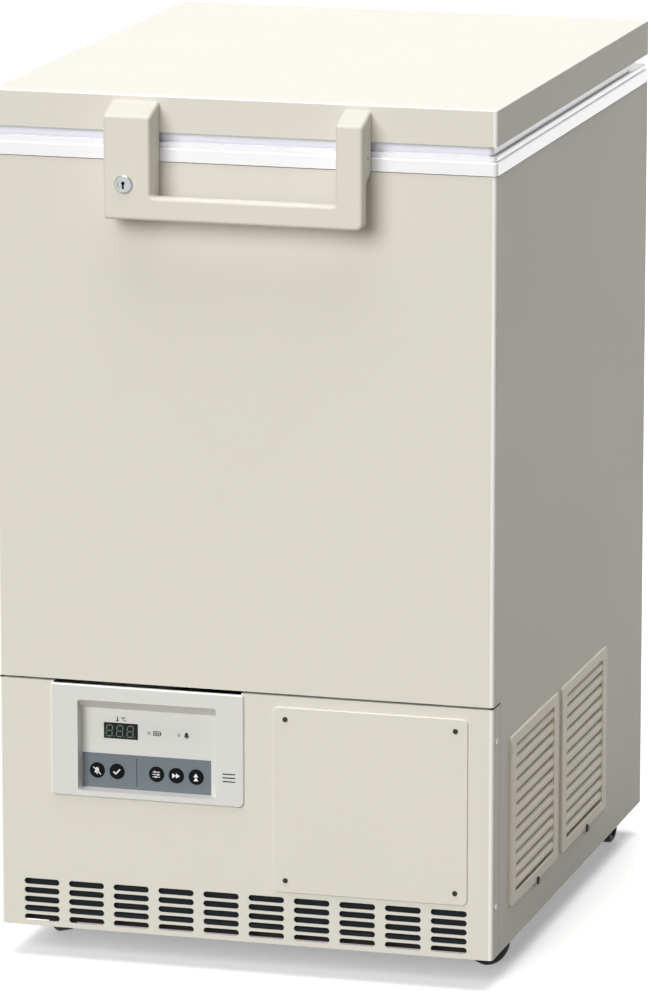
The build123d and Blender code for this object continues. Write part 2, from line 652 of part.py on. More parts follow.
SLEEVE_FRONT = MIDDLE + CHAMBER_DEPTH / 2
with BuildPart() as port_sleeve:
    with BuildSketch(upright(BODY_BACK)):
        with Locations((PORT_X, PORT_Z)):
            Circle(SLEEVE_RADIUS)
    extrude(amount=BODY_BACK - SLEEVE_FRONT)
    with BuildSketch(upright(BODY_BACK)):
        with Locations((PORT_X, PORT_Z)):
            Circle(SLEEVE_RADIUS + PORT_FLANGE)
    extrude(amount=-PORT_FLANGE_THICK)
    chamfer(faces().sort_by(Axis.Y)[-1].edges(), PORT_FLANGE_THICK / 3)
    with BuildSketch(upright(BODY_BACK + PORT_FLANGE_THICK)):
        with Locations((PORT_X, PORT_Z)):
            Circle(PORT_RADIUS)
    extrude(amount=BODY_BACK + PORT_FLANGE_THICK - SLEEVE_FRONT, mode=Mode.SUBTRACT)
keep(port_sleeve, "port_sleeve")

with BuildPart() as port_stopper:
    with BuildSketch(upright(BODY_BACK + PORT_FLANGE_THICK)):
        with Locations((PORT_X, PORT_Z)):
            Circle(PORT_RADIUS - RUNNING)
    extrude(amount=STOPPER_LENGTH)
    chamfer(edges().group_by(Axis.Y)[0], STOPPER_CHAMFER)
    with BuildSketch(upright(BODY_BACK + PORT_FLANGE_THICK)):
        with Locations((PORT_X, PORT_Z)):
            Circle(PORT_RADIUS + STOPPER_LIP)
    extrude(amount=-STOPPER_HEAD)
    chamfer(edges().group_by(Axis.Y)[-1], STOPPER_CHAMFER)
keep(port_stopper, "port_stopper")

# Lid

with BuildPart() as lid_pan:
    with BuildSketch(level(LID_BASE)):
        RectangleRounded(WIDTH, DEPTH, EDGE_RADIUS)
    extrude(amount=LID_SKIRT)
    fillet(faces().sort_by(Axis.Z)[-1].edges(), LID_EDGE)
    offset(amount=-SHEET, openings=faces().sort_by(Axis.Z)[0])
keep(lid_pan, "lid_pan")

PAN_ROOM = SHEET + SEAT
PLUG_WIDTH = MOUTH_WIDTH - 2 * PLUG_GAP
PLUG_LENGTH = MOUTH_DEPTH - 2 * PLUG_GAP
PLUG_RADIUS = MOUTH_RADIUS - PLUG_GAP

with BuildPart() as lid_liner:
    with BuildSketch(level(LID_BASE)):
        RectangleRounded(WIDTH - 2 * PAN_ROOM, DEPTH - 2 * PAN_ROOM, EDGE_RADIUS - SHEET)
    extrude(amount=PLUG_WALL)
    with BuildSketch(level(LID_BASE)):
        RectangleRounded(PLUG_WIDTH, PLUG_LENGTH, PLUG_RADIUS)
    extrude(amount=-PLUG_DEPTH, taper=PLUG_DRAFT)
    with BuildSketch(level(LID_BASE + PLUG_WALL)):
        RectangleRounded(
            PLUG_WIDTH - 2 * PLUG_WALL, PLUG_LENGTH - 2 * PLUG_WALL, PLUG_RADIUS - PLUG_WALL
        )
    extrude(amount=-PLUG_DEPTH, taper=PLUG_DRAFT, mode=Mode.SUBTRACT)
keep(lid_liner, "lid_liner")

with BuildPart() as lid_foam:
    with BuildSketch(level(LID_BASE + PLUG_WALL)):
        RectangleRounded(WIDTH - 2 * PAN_ROOM, DEPTH - 2 * PAN_ROOM, EDGE_RADIUS)
    extrude(amount=LID_SKIRT - PLUG_WALL - PAN_ROOM)
    with BuildSketch(level(LID_BASE + PLUG_WALL)):
        FOAM_INSET = PLUG_WALL + SEAT
        RectangleRounded(
            PLUG_WIDTH - 2 * FOAM_INSET, PLUG_LENGTH - 2 * FOAM_INSET, PLUG_RADIUS - PLUG_WALL
        )
    extrude(amount=-(PLUG_DEPTH - SEAT), taper=PLUG_DRAFT)
keep(lid_foam, "lid_foam")

with BuildPart() as lid_gasket:
    SEAL_WIDTH = WIDTH - 2 * GASKET_INSET
    SEAL_DEPTH = DEPTH - GASKET_INSET - GASKET_BACK_INSET
    SEAL_MIDDLE = Location((0, (GASKET_INSET - GASKET_BACK_INSET) / 2))
    with BuildSketch(level(COLLAR_TOP)):
        with Locations(SEAL_MIDDLE):
            RectangleRounded(SEAL_WIDTH, SEAL_DEPTH, EDGE_RADIUS)
        offset(amount=-GASKET_WIDTH, kind=Kind.INTERSECTION, mode=Mode.SUBTRACT)
    extrude(amount=GASKET_HEIGHT)
    # The lip that meets the collar stands in a little.
    with BuildSketch(level(COLLAR_TOP)):
        Rectangle(WIDTH, DEPTH)
        with Locations(SEAL_MIDDLE):
            RectangleRounded(
                SEAL_WIDTH - 2 * GASKET_REBATE,
                SEAL_DEPTH - 2 * GASKET_REBATE,
                EDGE_RADIUS,
                mode=Mode.SUBTRACT,
            )
    extrude(amount=GASKET_REBATE, mode=Mode.SUBTRACT)
keep(lid_gasket, "lid_gasket")

# Handle: a deep left leg that holds the lock, a right leg that thins to the bar

GRIP_FACE = FRONT - HANDLE_REACH
GRIP_BACK = GRIP_FACE + GRIP_DEPTH
LEG_BACK = FRONT - LEG_GAP
HANDLE_BASE = LID_BASE - HANDLE_DROP
HANDLE_TOP = LID_BASE + HANDLE_CREST
BAR_TOP = HANDLE_BASE + BAR_HEIGHT
HANDLE_SIDE = HANDLE_WIDTH / 2
RIGHT_LEG_BASE = LID_BASE - RIGHT_LEG_DROP
LOCK_X = -HANDLE_SIDE + LOCK_INSET
LOCK_Z = HANDLE_BASE + LOCK_RISE
POCKET_FACE = LEG_BACK - POCKET_DEPTH
LEG_TOP = [
    (FRONT, LID_BASE),
    (FRONT, HANDLE_TOP),
    (GRIP_FACE, HANDLE_TOP - HANDLE_SLOPE),
    (GRIP_FACE, HANDLE_BASE),
]

with BuildPart() as lid_handle:
    with BuildSketch(sideways(-HANDLE_SIDE)):
        with BuildLine():
            Polyline(*LEG_TOP, (LEG_BACK, HANDLE_BASE), (LEG_BACK, LID_BASE), close=True)
        make_face()
    extrude(amount=LEFT_LEG)
    with BuildSketch(sideways(HANDLE_SIDE - RIGHT_LEG)):
        with BuildLine():
            Polyline(
                *LEG_TOP,
                (GRIP_BACK, HANDLE_BASE),
                (GRIP_BACK, RIGHT_LEG_BASE - LEG_KNEE),
                (LEG_BACK, RIGHT_LEG_BASE),
                (LEG_BACK, LID_BASE),
                close=True,
            )
        make_face()
        fillet(vertices().sort_by_distance((GRIP_BACK, RIGHT_LEG_BASE - LEG_KNEE))[0], LEG_KNEE)
    extrude(amount=RIGHT_LEG)
    with BuildSketch(sideways(-HANDLE_SIDE)):
        with Locations((GRIP_FACE, HANDLE_BASE)):
            Rectangle(GRIP_DEPTH, BAR_HEIGHT, align=Align.MIN)
    extrude(amount=HANDLE_WIDTH)
    inner_corners = edges().filter_by(Axis.Y).filter_by_position(Axis.Z, BAR_TOP - SEAT, BAR_TOP + SEAT)
    fillet(inner_corners, HANDLE_ROUND)
    lower_corners = edges().filter_by(Axis.Y).group_by(Axis.Z)[0].sort_by(Axis.X)
    fillet(lower_corners[-1], CORNER_ROUND)
    fillet(edges().filter_by(Axis.Y).group_by(Axis.Z)[0].sort_by(Axis.X)[0], CORNER_ROUND / 2)
    slope_normal = Vector(0, -HANDLE_SLOPE, HANDLE_REACH).normalized()
    crests = faces().filter_by(lambda face: (face.normal_at() - slope_normal).length < SEAT)
    crest_sides = crests.edges().filter_by(Axis.X, reverse=True)
    fillet(faces().sort_by(Axis.Y)[0].edges() + crest_sides, HANDLE_ROUND)
    # Pocket behind the lock, open to the back and below, so that the keeper can leave it.
    with BuildSketch(upright(LEG_BACK)):
        with Locations((-HANDLE_SIDE + POCKET_WALL, HANDLE_BASE)):
            Rectangle(LEFT_LEG - 2 * POCKET_WALL, LOCK_RISE + POCKET_ROOF, align=Align.MIN)
    extrude(amount=POCKET_DEPTH, mode=Mode.SUBTRACT)
    with BuildSketch(upright(GRIP_FACE)):
        with Locations((LOCK_X, LOCK_Z)):
            Circle(BARREL_RADIUS + RUNNING)
    extrude(amount=-(POCKET_FACE - GRIP_FACE), mode=Mode.SUBTRACT)
    with BuildSketch(sideways(HANDLE_SIDE)):
        with Locations((FRONT - GRIP_DEPTH, (RIGHT_LEG_BASE + LID_BASE) / 2)):
            Circle(DRAIN_RADIUS)
    extrude(amount=-RIGHT_LEG / 2, mode=Mode.SUBTRACT)
keep(lid_handle, "lid_handle")

CAM_FACE = POCKET_FACE + CAM_THICK + 2 * KEEPER_GAP
with BuildPart() as lock_body:
    with BuildSketch(upright(GRIP_FACE)):
        with Locations((LOCK_X, LOCK_Z)):
            Circle(LOCK_RADIUS)
    extrude(amount=LOCK_PROUD)
    chamfer(edges().group_by(Axis.Y)[0], LOCK_PROUD / 3)
    with BuildSketch(upright(GRIP_FACE)):
        with Locations((LOCK_X, LOCK_Z)):
            Circle(BARREL_RADIUS)
    extrude(amount=-(POCKET_FACE + KEEPER_GAP - GRIP_FACE))
    with BuildSketch(upright(GRIP_FACE - LOCK_PROUD)):
        with Locations((LOCK_X, LOCK_Z)):
            Circle(CYLINDER_RADIUS + RUNNING)
    extrude(amount=-(POCKET_FACE + KEEPER_GAP - GRIP_FACE + LOCK_PROUD), mode=Mode.SUBTRACT)
    with BuildSketch(upright(POCKET_FACE)):
        with Locations((LOCK_X, LOCK_Z)):
            Circle(LOCK_RADIUS)
            Circle(BARREL_RADIUS, mode=Mode.SUBTRACT)
    extrude(amount=-KEEPER_GAP)
keep(lock_body, "lock_body")

with BuildPart() as lock_cylinder:
    CYLINDER_FACE = GRIP_FACE - LOCK_PROUD + CYLINDER_SETBACK
    with BuildSketch(upright(CYLINDER_FACE)):
        with Locations((LOCK_X, LOCK_Z)):
            Circle(CYLINDER_RADIUS)
    extrude(amount=-(CAM_FACE - CYLINDER_FACE))
    with BuildSketch(upright(CYLINDER_FACE)):
        with Locations((LOCK_X, LOCK_Z + KEYHOLE_RADIUS / 2)):
            Circle(KEYHOLE_RADIUS)
            Rectangle(KEYWAY_WIDTH, KEYWAY_HEIGHT, align=(Align.CENTER, Align.MAX))
    extrude(amount=-KEYWAY_DEPTH, mode=Mode.SUBTRACT)
    # The cam hangs straight down while the lock is open.
    with BuildSketch(upright(CAM_FACE)):
        with BuildLine():
            CenterArc((LOCK_X, LOCK_Z), CYLINDER_RADIUS, 0, 360)
            CenterArc((LOCK_X, LOCK_Z - CAM_REACH), CAM_RADIUS, 0, 360)
        make_hull()
    extrude(amount=-CAM_THICK)
keep(lock_cylinder, "lock_cylinder")

# The keeper's tab stands over the cam once the lock has turned it to the right.
with BuildPart() as lock_keeper:
    KEEPER_LEFT = LOCK_X + CYLINDER_RADIUS + KEEPER_GAP
    TAB_BASE = LOCK_Z + CYLINDER_RADIUS + KEEPER_GAP / 2
    with BuildSketch(upright(BODY_FRONT)):
        with Locations((KEEPER_LEFT, TAB_BASE)):
            Rectangle(KEEPER_WIDTH, KEEPER_WIDTH, align=Align.MIN)
    extrude(amount=KEEPER_PLATE)
    with BuildSketch(upright(BODY_FRONT)):
        with Locations((KEEPER_LEFT, TAB_BASE)):
            Rectangle(KEEPER_WIDTH, KEEPER_PLATE, align=Align.MIN)
    extrude(amount=BODY_FRONT - CAM_FACE + KEEPER_GAP)
keep(lock_keeper, "lock_keeper")

# Hinges

HINGE_Y = BACK + LEAF + KNUCKLE_RADIUS
HINGE_Z = LID_BASE - GASKET_HEIGHT / 2
KNUCKLE = HINGE_WIDTH / 3
HINGE_XS = (HINGE_INSET - WIDTH / 2, WIDTH / 2 - HINGE_INSET)


def hinge_eye():
    """Draws the eye of a hinge leaf round the pin, in an open sideways sketch."""
    with Locations((HINGE_Y, HINGE_Z)):
        Circle(KNUCKLE_RADIUS)


with BuildPart() as hinge_brackets:
    for x in HINGE_XS:
        # Plate on the back of the cabinet, with a web out to each of the two outer eyes.
        with BuildSketch(sideways(x - HINGE_WIDTH / 2)):
            with Locations((BODY_BACK, COLLAR_BASE - SEAT)):
                Rectangle(LEAF, BRACKET_DROP, align=(Align.MIN, Align.MAX))
        extrude(amount=HINGE_WIDTH)
        for left in (x - HINGE_WIDTH / 2, x + HINGE_WIDTH / 2 - KNUCKLE + SEAT):
            with BuildSketch(sideways(left)):
                hinge_eye()
                with Locations((HINGE_Y, HINGE_Z)):
                    Rectangle(KNUCKLE_RADIUS - SEAT, HINGE_Z - COLLAR_BASE, align=Align.MAX)
                with Locations((BODY_BACK, COLLAR_BASE - SEAT)):
                    Rectangle(HINGE_Y - BODY_BACK, 2 * KNUCKLE_RADIUS, align=(Align.MIN, Align.MAX))
                with Locations((HINGE_Y, COLLAR_BASE - SEAT)):
                    Rectangle(KNUCKLE_RADIUS - SEAT, SEAT, align=(Align.MAX, Align.MIN))
            extrude(amount=KNUCKLE - SEAT)
        with BuildSketch(sideways(x - HINGE_WIDTH / 2)):
            with Locations((HINGE_Y, HINGE_Z)):
                Circle(PIN_RADIUS + RUNNING)
        extrude(amount=HINGE_WIDTH, mode=Mode.SUBTRACT)
keep(hinge_brackets, "hinge_brackets")

with BuildPart() as hinge_arms:
    for x in HINGE_XS:
        with BuildSketch(sideways(x - HINGE_WIDTH / 2)):
            with Locations((BACK, LID_BASE + LEAF)):
                Rectangle(LEAF, LID_SKIRT - 2 * LEAF, align=Align.MIN)
        extrude(amount=HINGE_WIDTH)
        with BuildSketch(sideways(x - KNUCKLE / 2)):
            hinge_eye()
            with Locations((BACK, LID_BASE + LEAF)):
                Rectangle(LEAF + KNUCKLE_RADIUS, 2 * KNUCKLE_RADIUS, align=Align.MIN)
            with Locations((HINGE_Y, HINGE_Z)):
                Rectangle(KNUCKLE_RADIUS - SEAT, LID_BASE + LEAF - HINGE_Z, align=(Align.MAX, Align.MIN))
        extrude(amount=KNUCKLE)
        # The pin is fast in the arm's eye and turns in the bracket's two eyes.
        with BuildSketch(sideways(x - HINGE_WIDTH / 2)):
            with Locations((HINGE_Y, HINGE_Z)):
                Circle(PIN_RADIUS)
        extrude(amount=HINGE_WIDTH)
keep(hinge_arms, "hinge_arms")

with BuildPart() as rear_spacers:
    for side in (-1, 1):
        with BuildSketch(upright(BODY_BACK)):
            with Locations((side * (SIDE - SPACER_INSET), BODY_TOP - SPACER_DROP)):
                RectangleRounded(SPACER_WIDTH, SPACER_HEIGHT, EDGE_RADIUS)
        extrude(amount=-(SPACER_REACH + BODY_INSET))
    fillet(faces().group_by(Axis.Y)[-1].edges(), EDGE_RADIUS / 2)
keep(rear_spacers, "rear_spacers")

# Lower front panel

with BuildPart() as front_cover:
    with BuildSketch(Plane.XY.offset(SKIRT_GAP)):
        sheet_channel(BODY_FRONT, BODY_FRONT + COVER_FLANGE)
    extrude(amount=COVER_TOP - SKIRT_GAP)
    with BuildSketch(Plane.XY.offset(SKIRT_GAP), Plane.XY.offset(COVER_TOP - SHEET)):
        with Locations((0, BODY_FRONT)):
            Rectangle(BODY_WIDTH - 2 * EDGE_RADIUS, COVER_LIP, align=(Align.CENTER, Align.MIN))
    extrude(amount=SHEET)
    with BuildSketch(upright(BODY_FRONT)):
        with Locations((0, VENT_BASE + VENT_RISE * (VENT_ROWS - 1) / 2)):
            with GridLocations(VENT_PITCH, VENT_RISE, VENT_COLUMNS, VENT_ROWS):
                SlotOverall(VENT_LENGTH, VENT_HEIGHT)
        with Locations((PLATE_X, PLATE_Z)):
            Rectangle(PLATE_WIDTH - 2 * PLATE_LAP, PLATE_HEIGHT - 2 * PLATE_LAP)
            with GridLocations(PLATE_SCREW_WIDTH, PLATE_SCREW_HEIGHT, 2, 2):
                Circle(SCREW_SHANK + SEAT)
    extrude(amount=-SHEET, mode=Mode.SUBTRACT)
    # The bezel's opening runs out through the top edge and its lip.
    with BuildSketch(upright(BODY_FRONT)):
        with Locations((BEZEL_X, COVER_TOP)):
            Rectangle(
                BEZEL_WIDTH - 2 * BEZEL_LAP,
                BEZEL_HEIGHT + BEZEL_DROP - BEZEL_LAP,
                align=(Align.CENTER, Align.MAX),
            )
    extrude(amount=-COVER_LIP, mode=Mode.SUBTRACT)
    with BuildSketch(sideways(-SIDE)):
        with Locations(*FLANGE_SCREWS):
            Circle(SCREW_SHANK + SEAT)
    extrude(amount=BODY_WIDTH, mode=Mode.SUBTRACT)
keep(front_cover, "front_cover")

with BuildPart() as blank_plate:
    with BuildSketch(upright(BODY_FRONT)):
        with Locations((PLATE_X, PLATE_Z)):
            RectangleRounded(PLATE_WIDTH, PLATE_HEIGHT, PLATE_RADIUS)
    extrude(amount=PLATE_THICK)
    fillet(faces().sort_by(Axis.Y)[0].edges(), PLATE_THICK / 2)
    with BuildSketch(upright(BODY_FRONT)):
        with Locations((PLATE_X, PLATE_Z)):
            with GridLocations(PLATE_SCREW_WIDTH, PLATE_SCREW_HEIGHT, 2, 2):
                Circle(SCREW_SHANK + SEAT)
    extrude(amount=PLATE_THICK, mode=Mode.SUBTRACT)
keep(blank_plate, "blank_plate")

# Control bezel

with BuildPart() as control_bezel:
    with BuildSketch(upright(BODY_FRONT)):
        with Locations((BEZEL_X, BEZEL_Z)):
            Rectangle(BEZEL_WIDTH, BEZEL_HEIGHT)
        fillet(vertices().group_by(Axis.Y)[0], BEZEL_RADIUS)
        fillet(vertices().group_by(Axis.Y)[-1], BEZEL_RADIUS / 2)
    extrude(amount=BEZEL_PROUD)
    fillet(faces().sort_by(Axis.Y)[0].edges(), BEZEL_EDGE)
    with BuildSketch(upright(BODY_FRONT)):
        with Locations((BEZEL_X, RECESS_Z)):
            RectangleRounded(
                RECESS_WIDTH + 2 * BEZEL_WALL, RECESS_HEIGHT + 2 * BEZEL_WALL, RECESS_RADIUS + BEZEL_WALL
            )
    extrude(amount=-(FLOOR_BACK - BODY_FRONT))
    with BuildSketch(upright(BEZEL_FACE)):
        with Locations((BEZEL_X, RECESS_Z)):
            RectangleRounded(RECESS_WIDTH, RECESS_HEIGHT, RECESS_RADIUS)
    extrude(amount=-RECESS_DEPTH, mode=Mode.SUBTRACT)
    # The recess's upper wall slopes down to its floor.
    with BuildSketch(sideways(RECESS_LEFT)):
        with BuildLine():
            Polyline(
                (BEZEL_FACE, RECESS_TOP),
                (FLOOR_FACE, RECESS_TOP - RECESS_SLOPE),
                (FLOOR_FACE, RECESS_TOP),
                close=True,
            )
        make_face()
    extrude(amount=RECESS_WIDTH)
    with BuildSketch(upright(FLOOR_FACE)):
        with Locations(*[(x, BAND_Z) for x in KEYS.values()]):
            Circle(KEY_RADIUS + KEY_GAP)
        with Locations((DISPLAY_X, DISPLAY_Z)):
            Rectangle(DISPLAY_WIDTH + 2 * SEAT, DISPLAY_HEIGHT + 2 * SEAT)
        with Locations(*LENSES):
            Circle(LENS_RADIUS + SEAT)
    extrude(amount=-BEZEL_WALL, mode=Mode.SUBTRACT)
    with BuildSketch(upright(BEZEL_FACE)):
        with Locations((SLIT_X, SLIT_Z)):
            with GridLocations(1, SLIT_PITCH, 1, 3):
                SlotOverall(SLIT_LENGTH, SLIT_HEIGHT)
    extrude(amount=-BEZEL_PROUD, mode=Mode.SUBTRACT)
    with BuildSketch(upright(FLOOR_BACK)):
        with Locations((BEZEL_X, RECESS_Z)):
            with GridLocations(POST_WIDTH, POST_HEIGHT, 2, 2):
                Circle(POST_RADIUS)
    extrude(amount=-(BOARD_FACE - FLOOR_BACK))
keep(control_bezel, "control_bezel")

with BuildPart() as keypad_sheet:
    with BuildSketch(upright(FLOOR_FACE)):
        with Locations((BAND_X, BAND_Z)):
            Rectangle(BAND_WIDTH, BAND_HEIGHT)
        with Locations(*[(x, BAND_Z) for x in KEYS.values()]):
            Circle(KEY_RADIUS + KEY_GAP, mode=Mode.SUBTRACT)
    extrude(amount=BAND_THICK)
keep(keypad_sheet, "keypad_sheet")

for key_name, key_x in KEYS.items():
    with BuildPart() as push_key:
        with BuildSketch(upright(KEY_FACE)):
            with Locations((key_x, BAND_Z)):
                Circle(KEY_RADIUS)
        extrude(amount=-(KEY_BACK - KEY_FACE))
        chamfer(edges().group_by(Axis.Y)[0], KEY_PROUD / 2)
        with BuildSketch(upright(KEY_FLANGE_FACE)):
            with Locations((key_x, BAND_Z)):
                Circle(KEY_RADIUS + KEY_FLANGE)
        extrude(amount=-KEY_FLANGE)
    keep(push_key, key_name)

with BuildPart() as display_window:
    with BuildSketch(upright(FLOOR_BACK)):
        with Locations((DISPLAY_X, DISPLAY_Z)):
            Rectangle(DISPLAY_WIDTH, DISPLAY_HEIGHT)
    extrude(amount=BEZEL_WALL + DISPLAY_PROUD)
keep(display_window, "display_window")

with BuildPart() as indicator_lenses:
    with BuildSketch(upright(BOARD_FACE)):
        with Locations(*LENSES):
            Circle(LENS_RADIUS)
    extrude(amount=BOARD_FACE - FLOOR_FACE + LENS_RADIUS / 2)
    fillet(edges().group_by(Axis.Y)[0], LENS_RADIUS / 2)
keep(indicator_lenses, "indicator_lenses")

with BuildPart() as control_board:
    with BuildSketch(upright(BOARD_FACE)):
        with Locations((BEZEL_X, RECESS_Z)):
            Rectangle(BOARD_WIDTH, BOARD_HEIGHT)
    extrude(amount=-BOARD_THICK)
    with BuildSketch(upright(BOARD_FACE)):
        with Locations(*[(x, BAND_Z) for x in KEYS.values()]):
            Rectangle(SWITCH_SIZE, SWITCH_SIZE)
    extrude(amount=SWITCH_DEPTH)
    with BuildSketch(upright(BOARD_FACE)):
        with Locations((DISPLAY_X, DISPLAY_Z)):
            Rectangle(DISPLAY_WIDTH, DISPLAY_HEIGHT)
    extrude(amount=BOARD_FACE - FLOOR_BACK)
    # The alarm buzzer stands apart from the board, behind its slits.
    with BuildSketch(upright(BODY_FRONT)):
        with Locations((SLIT_X, SLIT_Z)):
            Circle(BUZZER_RADIUS)
    extrude(amount=-BUZZER_DEPTH)
keep(control_board, "control_board")

# Side grilles with bowed blades

BLADE_PITCH = (FIELD_HEIGHT - 2 * BLADE_MARGIN) / BLADES
NOSE = SIDE + GRILLE_PROUD - GRILLE_EDGE / 2
FIRST_ROOT = GRILLE_Z + FIELD_HEIGHT / 2 - BLADE_MARGIN

for grille_name, grille_y in zip(("side_grille_front", "side_grille_rear"), GRILLE_MIDDLES):
    with BuildPart() as side_grille:
        with BuildSketch(sideways(SIDE)):
            with Locations((grille_y, GRILLE_Z)):
                RectangleRounded(GRILLE_LENGTH, GRILLE_HEIGHT, GRILLE_RADIUS)
            with Locations((grille_y + EAR_SHIFT, GRILLE_BASE)):
                Circle(EAR_RADIUS)
        extrude(amount=GRILLE_PROUD)
        fillet(faces().sort_by(Axis.X)[-1].edges(), GRILLE_EDGE)
        with BuildSketch(sideways(SIDE)):
            with Locations((grille_y, GRILLE_Z)):
                Rectangle(FIELD_LENGTH + 2 * GRILLE_WALL, FIELD_HEIGHT + 2 * GRILLE_WALL)
        extrude(amount=-GRILLE_DEPTH)
        with BuildSketch(sideways(SIDE + GRILLE_PROUD)):
            with Locations((grille_y, GRILLE_Z)):
                Rectangle(FIELD_LENGTH, FIELD_HEIGHT)
        extrude(amount=-(GRILLE_PROUD + GRILLE_DEPTH), mode=Mode.SUBTRACT)
        with BuildSketch(sideways(SIDE)):
            with Locations((grille_y + EAR_SHIFT, GRILLE_BASE)):
                Circle(SCREW_SHANK + SEAT)
        extrude(amount=GRILLE_PROUD, mode=Mode.SUBTRACT)
        # Each blade bows out from its upper root to its nose and hooks in again below it.
        with BuildSketch(upright(grille_y + FIELD_LENGTH / 2 + GRILLE_WALL / 2)):
            for blade in range(BLADES):
                root = FIRST_ROOT - blade * BLADE_PITCH
                lip = root - BLADE_PITCH + BLADE_LAP
                nose = root - BLADE_NOSE * BLADE_PITCH
                with BuildLine():
                    ThreePointArc((NOSE - BLADE_SETBACK, root), (NOSE, nose), (NOSE - BLADE_HOOK, lip))
                    offset(amount=BLADE_THICK, side=Side.RIGHT)
                make_face()
        extrude(amount=FIELD_LENGTH + GRILLE_WALL)
    keep(side_grille, grille_name)

# Screws



def cross_screw(head, rise, bevel):
    """A screw whose bevelled head, with a cross cut in it, stands on the ground plane."""
    with BuildPart() as screw:
        with BuildSketch(Plane.XY):
            Circle(head)
        extrude(amount=rise)
        chamfer(edges().group_by(Axis.Z)[-1], bevel)
        with BuildSketch(Plane.XY.offset(rise)):
            Rectangle(CROSS_LENGTH, CROSS_WIDTH)
            Rectangle(CROSS_WIDTH, CROSS_LENGTH)
        extrude(amount=-CROSS_DEPTH, mode=Mode.SUBTRACT)
        with BuildSketch(Plane.XY):
            Circle(SCREW_SHANK)
        extrude(amount=-SCREW_LENGTH)
    return screw


panel_screw = cross_screw(SCREW_HEAD, SCREW_RISE, SCREW_BEVEL)
plate_screw = cross_screw(PLATE_SCREW_HEAD, PLATE_SCREW_RISE, PLATE_SCREW_BEVEL)
grille_screw = cross_screw(GRILLE_SCREW_HEAD, GRILLE_SCREW_RISE, GRILLE_SCREW_BEVEL)

with BuildPart() as panel_screws:
    with Locations(*[Location((SIDE, y, z), (0, 90, 0)) for y, z in FLANGE_SCREWS]):
        add(panel_screw.part)
    with Locations(*[Location((-SIDE, y, z), (0, -90, 0)) for y, z in FLANGE_SCREWS]):
        add(panel_screw.part)
    with Locations(*[Location((x, BODY_BACK, z), (-90, 0, 0)) for x, z in REAR_SCREWS]):
        add(panel_screw.part)
keep(panel_screws, "panel_screws")

with BuildPart() as dark_screws:
    with Locations(upright(BODY_FRONT - PLATE_THICK).location):
        with Locations((PLATE_X, PLATE_Z)):
            with GridLocations(PLATE_SCREW_WIDTH, PLATE_SCREW_HEIGHT, 2, 2):
                add(plate_screw.part)
    for grille_y in GRILLE_MIDDLES:
        with Locations(Location((SIDE + GRILLE_PROUD, grille_y + EAR_SHIFT, GRILLE_BASE), (0, 90, 0))):
            add(grille_screw.part)
keep(dark_screws, "dark_screws")

# Base pan and casters

with BuildPart() as base_pan:
    PAN_FRONT = FRONT + PAN_SETBACK
    PAN_BACK = BODY_BACK - SHEET - REAR_FLANGE - SEAT
    with BuildSketch(sideways(-INNER_SIDE + SEAT)):
        with Locations((PAN_FRONT, PAN_BASE)):
            Rectangle(PAN_BACK - PAN_FRONT, PAN_SHEET, align=Align.MIN)
        with Locations((PAN_FRONT, PAN_TOP)):
            Rectangle(PAN_SHEET, PAN_FLANGE, align=(Align.MIN, Align.MAX))
        with Locations((PAN_BACK, PAN_TOP)):
            Rectangle(PAN_SHEET, PAN_FLANGE, align=(Align.MAX, Align.MAX))
    extrude(amount=2 * (INNER_SIDE - SEAT))
keep(base_pan, "base_pan")

FORK_GAP = WHEEL_WIDTH / 2 + FORK_ROOM
FRONT_CASTER_X = INNER_SIDE - FRONT_CASTER_INSET
FRONT_CASTER_Y = FRONT + FRONT_CASTER_SETBACK
REAR_CASTER_X = INNER_SIDE - REAR_CASTER_INSET
REAR_CASTER_Y = BACK - REAR_CASTER_REACH


def axle_plane(x, y, heading):
    """A sketch plane through a wheel's middle: its axle lies along local X, upwards is local Y."""
    turn = radians(heading)
    return Plane((x, y, 0), x_dir=(cos(turn), sin(turn), 0), z_dir=(sin(turn), -cos(turn), 0))


def leg_plane(x, y, heading, along):
    """A sketch plane square to the axle, set off along it: local X points where the wheel trails."""
    turn = radians(heading)
    axle = Vector(cos(turn), sin(turn), 0)
    return Plane(Vector(x, y, 0) + axle * along, x_dir=(-sin(turn), cos(turn), 0), z_dir=axle)


def trailing_wheel(x, y, heading, trail):
    """Where the middle of a wheel stands that trails behind its plate at x, y."""
    turn = radians(heading)
    return x - trail * sin(turn), y + trail * cos(turn)


def caster_wheel(x, y, heading):
    """A moulded wheel with a bevelled tread and a dished face on each side."""
    plane = axle_plane(x, y, heading)
    with BuildPart() as wheel:
        with BuildSketch(plane):
            with Locations((0, WHEEL_RADIUS + AXLE_RADIUS + RUNNING)):
                tread_depth = WHEEL_RADIUS - AXLE_RADIUS - RUNNING
                Rectangle(WHEEL_WIDTH, tread_depth, align=(Align.CENTER, Align.MIN))
            chamfer(vertices().group_by(Axis.Y)[-1], TREAD_BEVEL)
            for side in (-1, 1):
                with Locations((side * WHEEL_WIDTH / 2, WHEEL_RADIUS + (HUB_RADIUS + RIM_RADIUS) / 2)):
                    Rectangle(2 * RIM_DEPTH, RIM_RADIUS - HUB_RADIUS, mode=Mode.SUBTRACT)
        revolve(axis=Axis(plane.origin + Vector(0, 0, WHEEL_RADIUS), plane.x_dir))
    return wheel


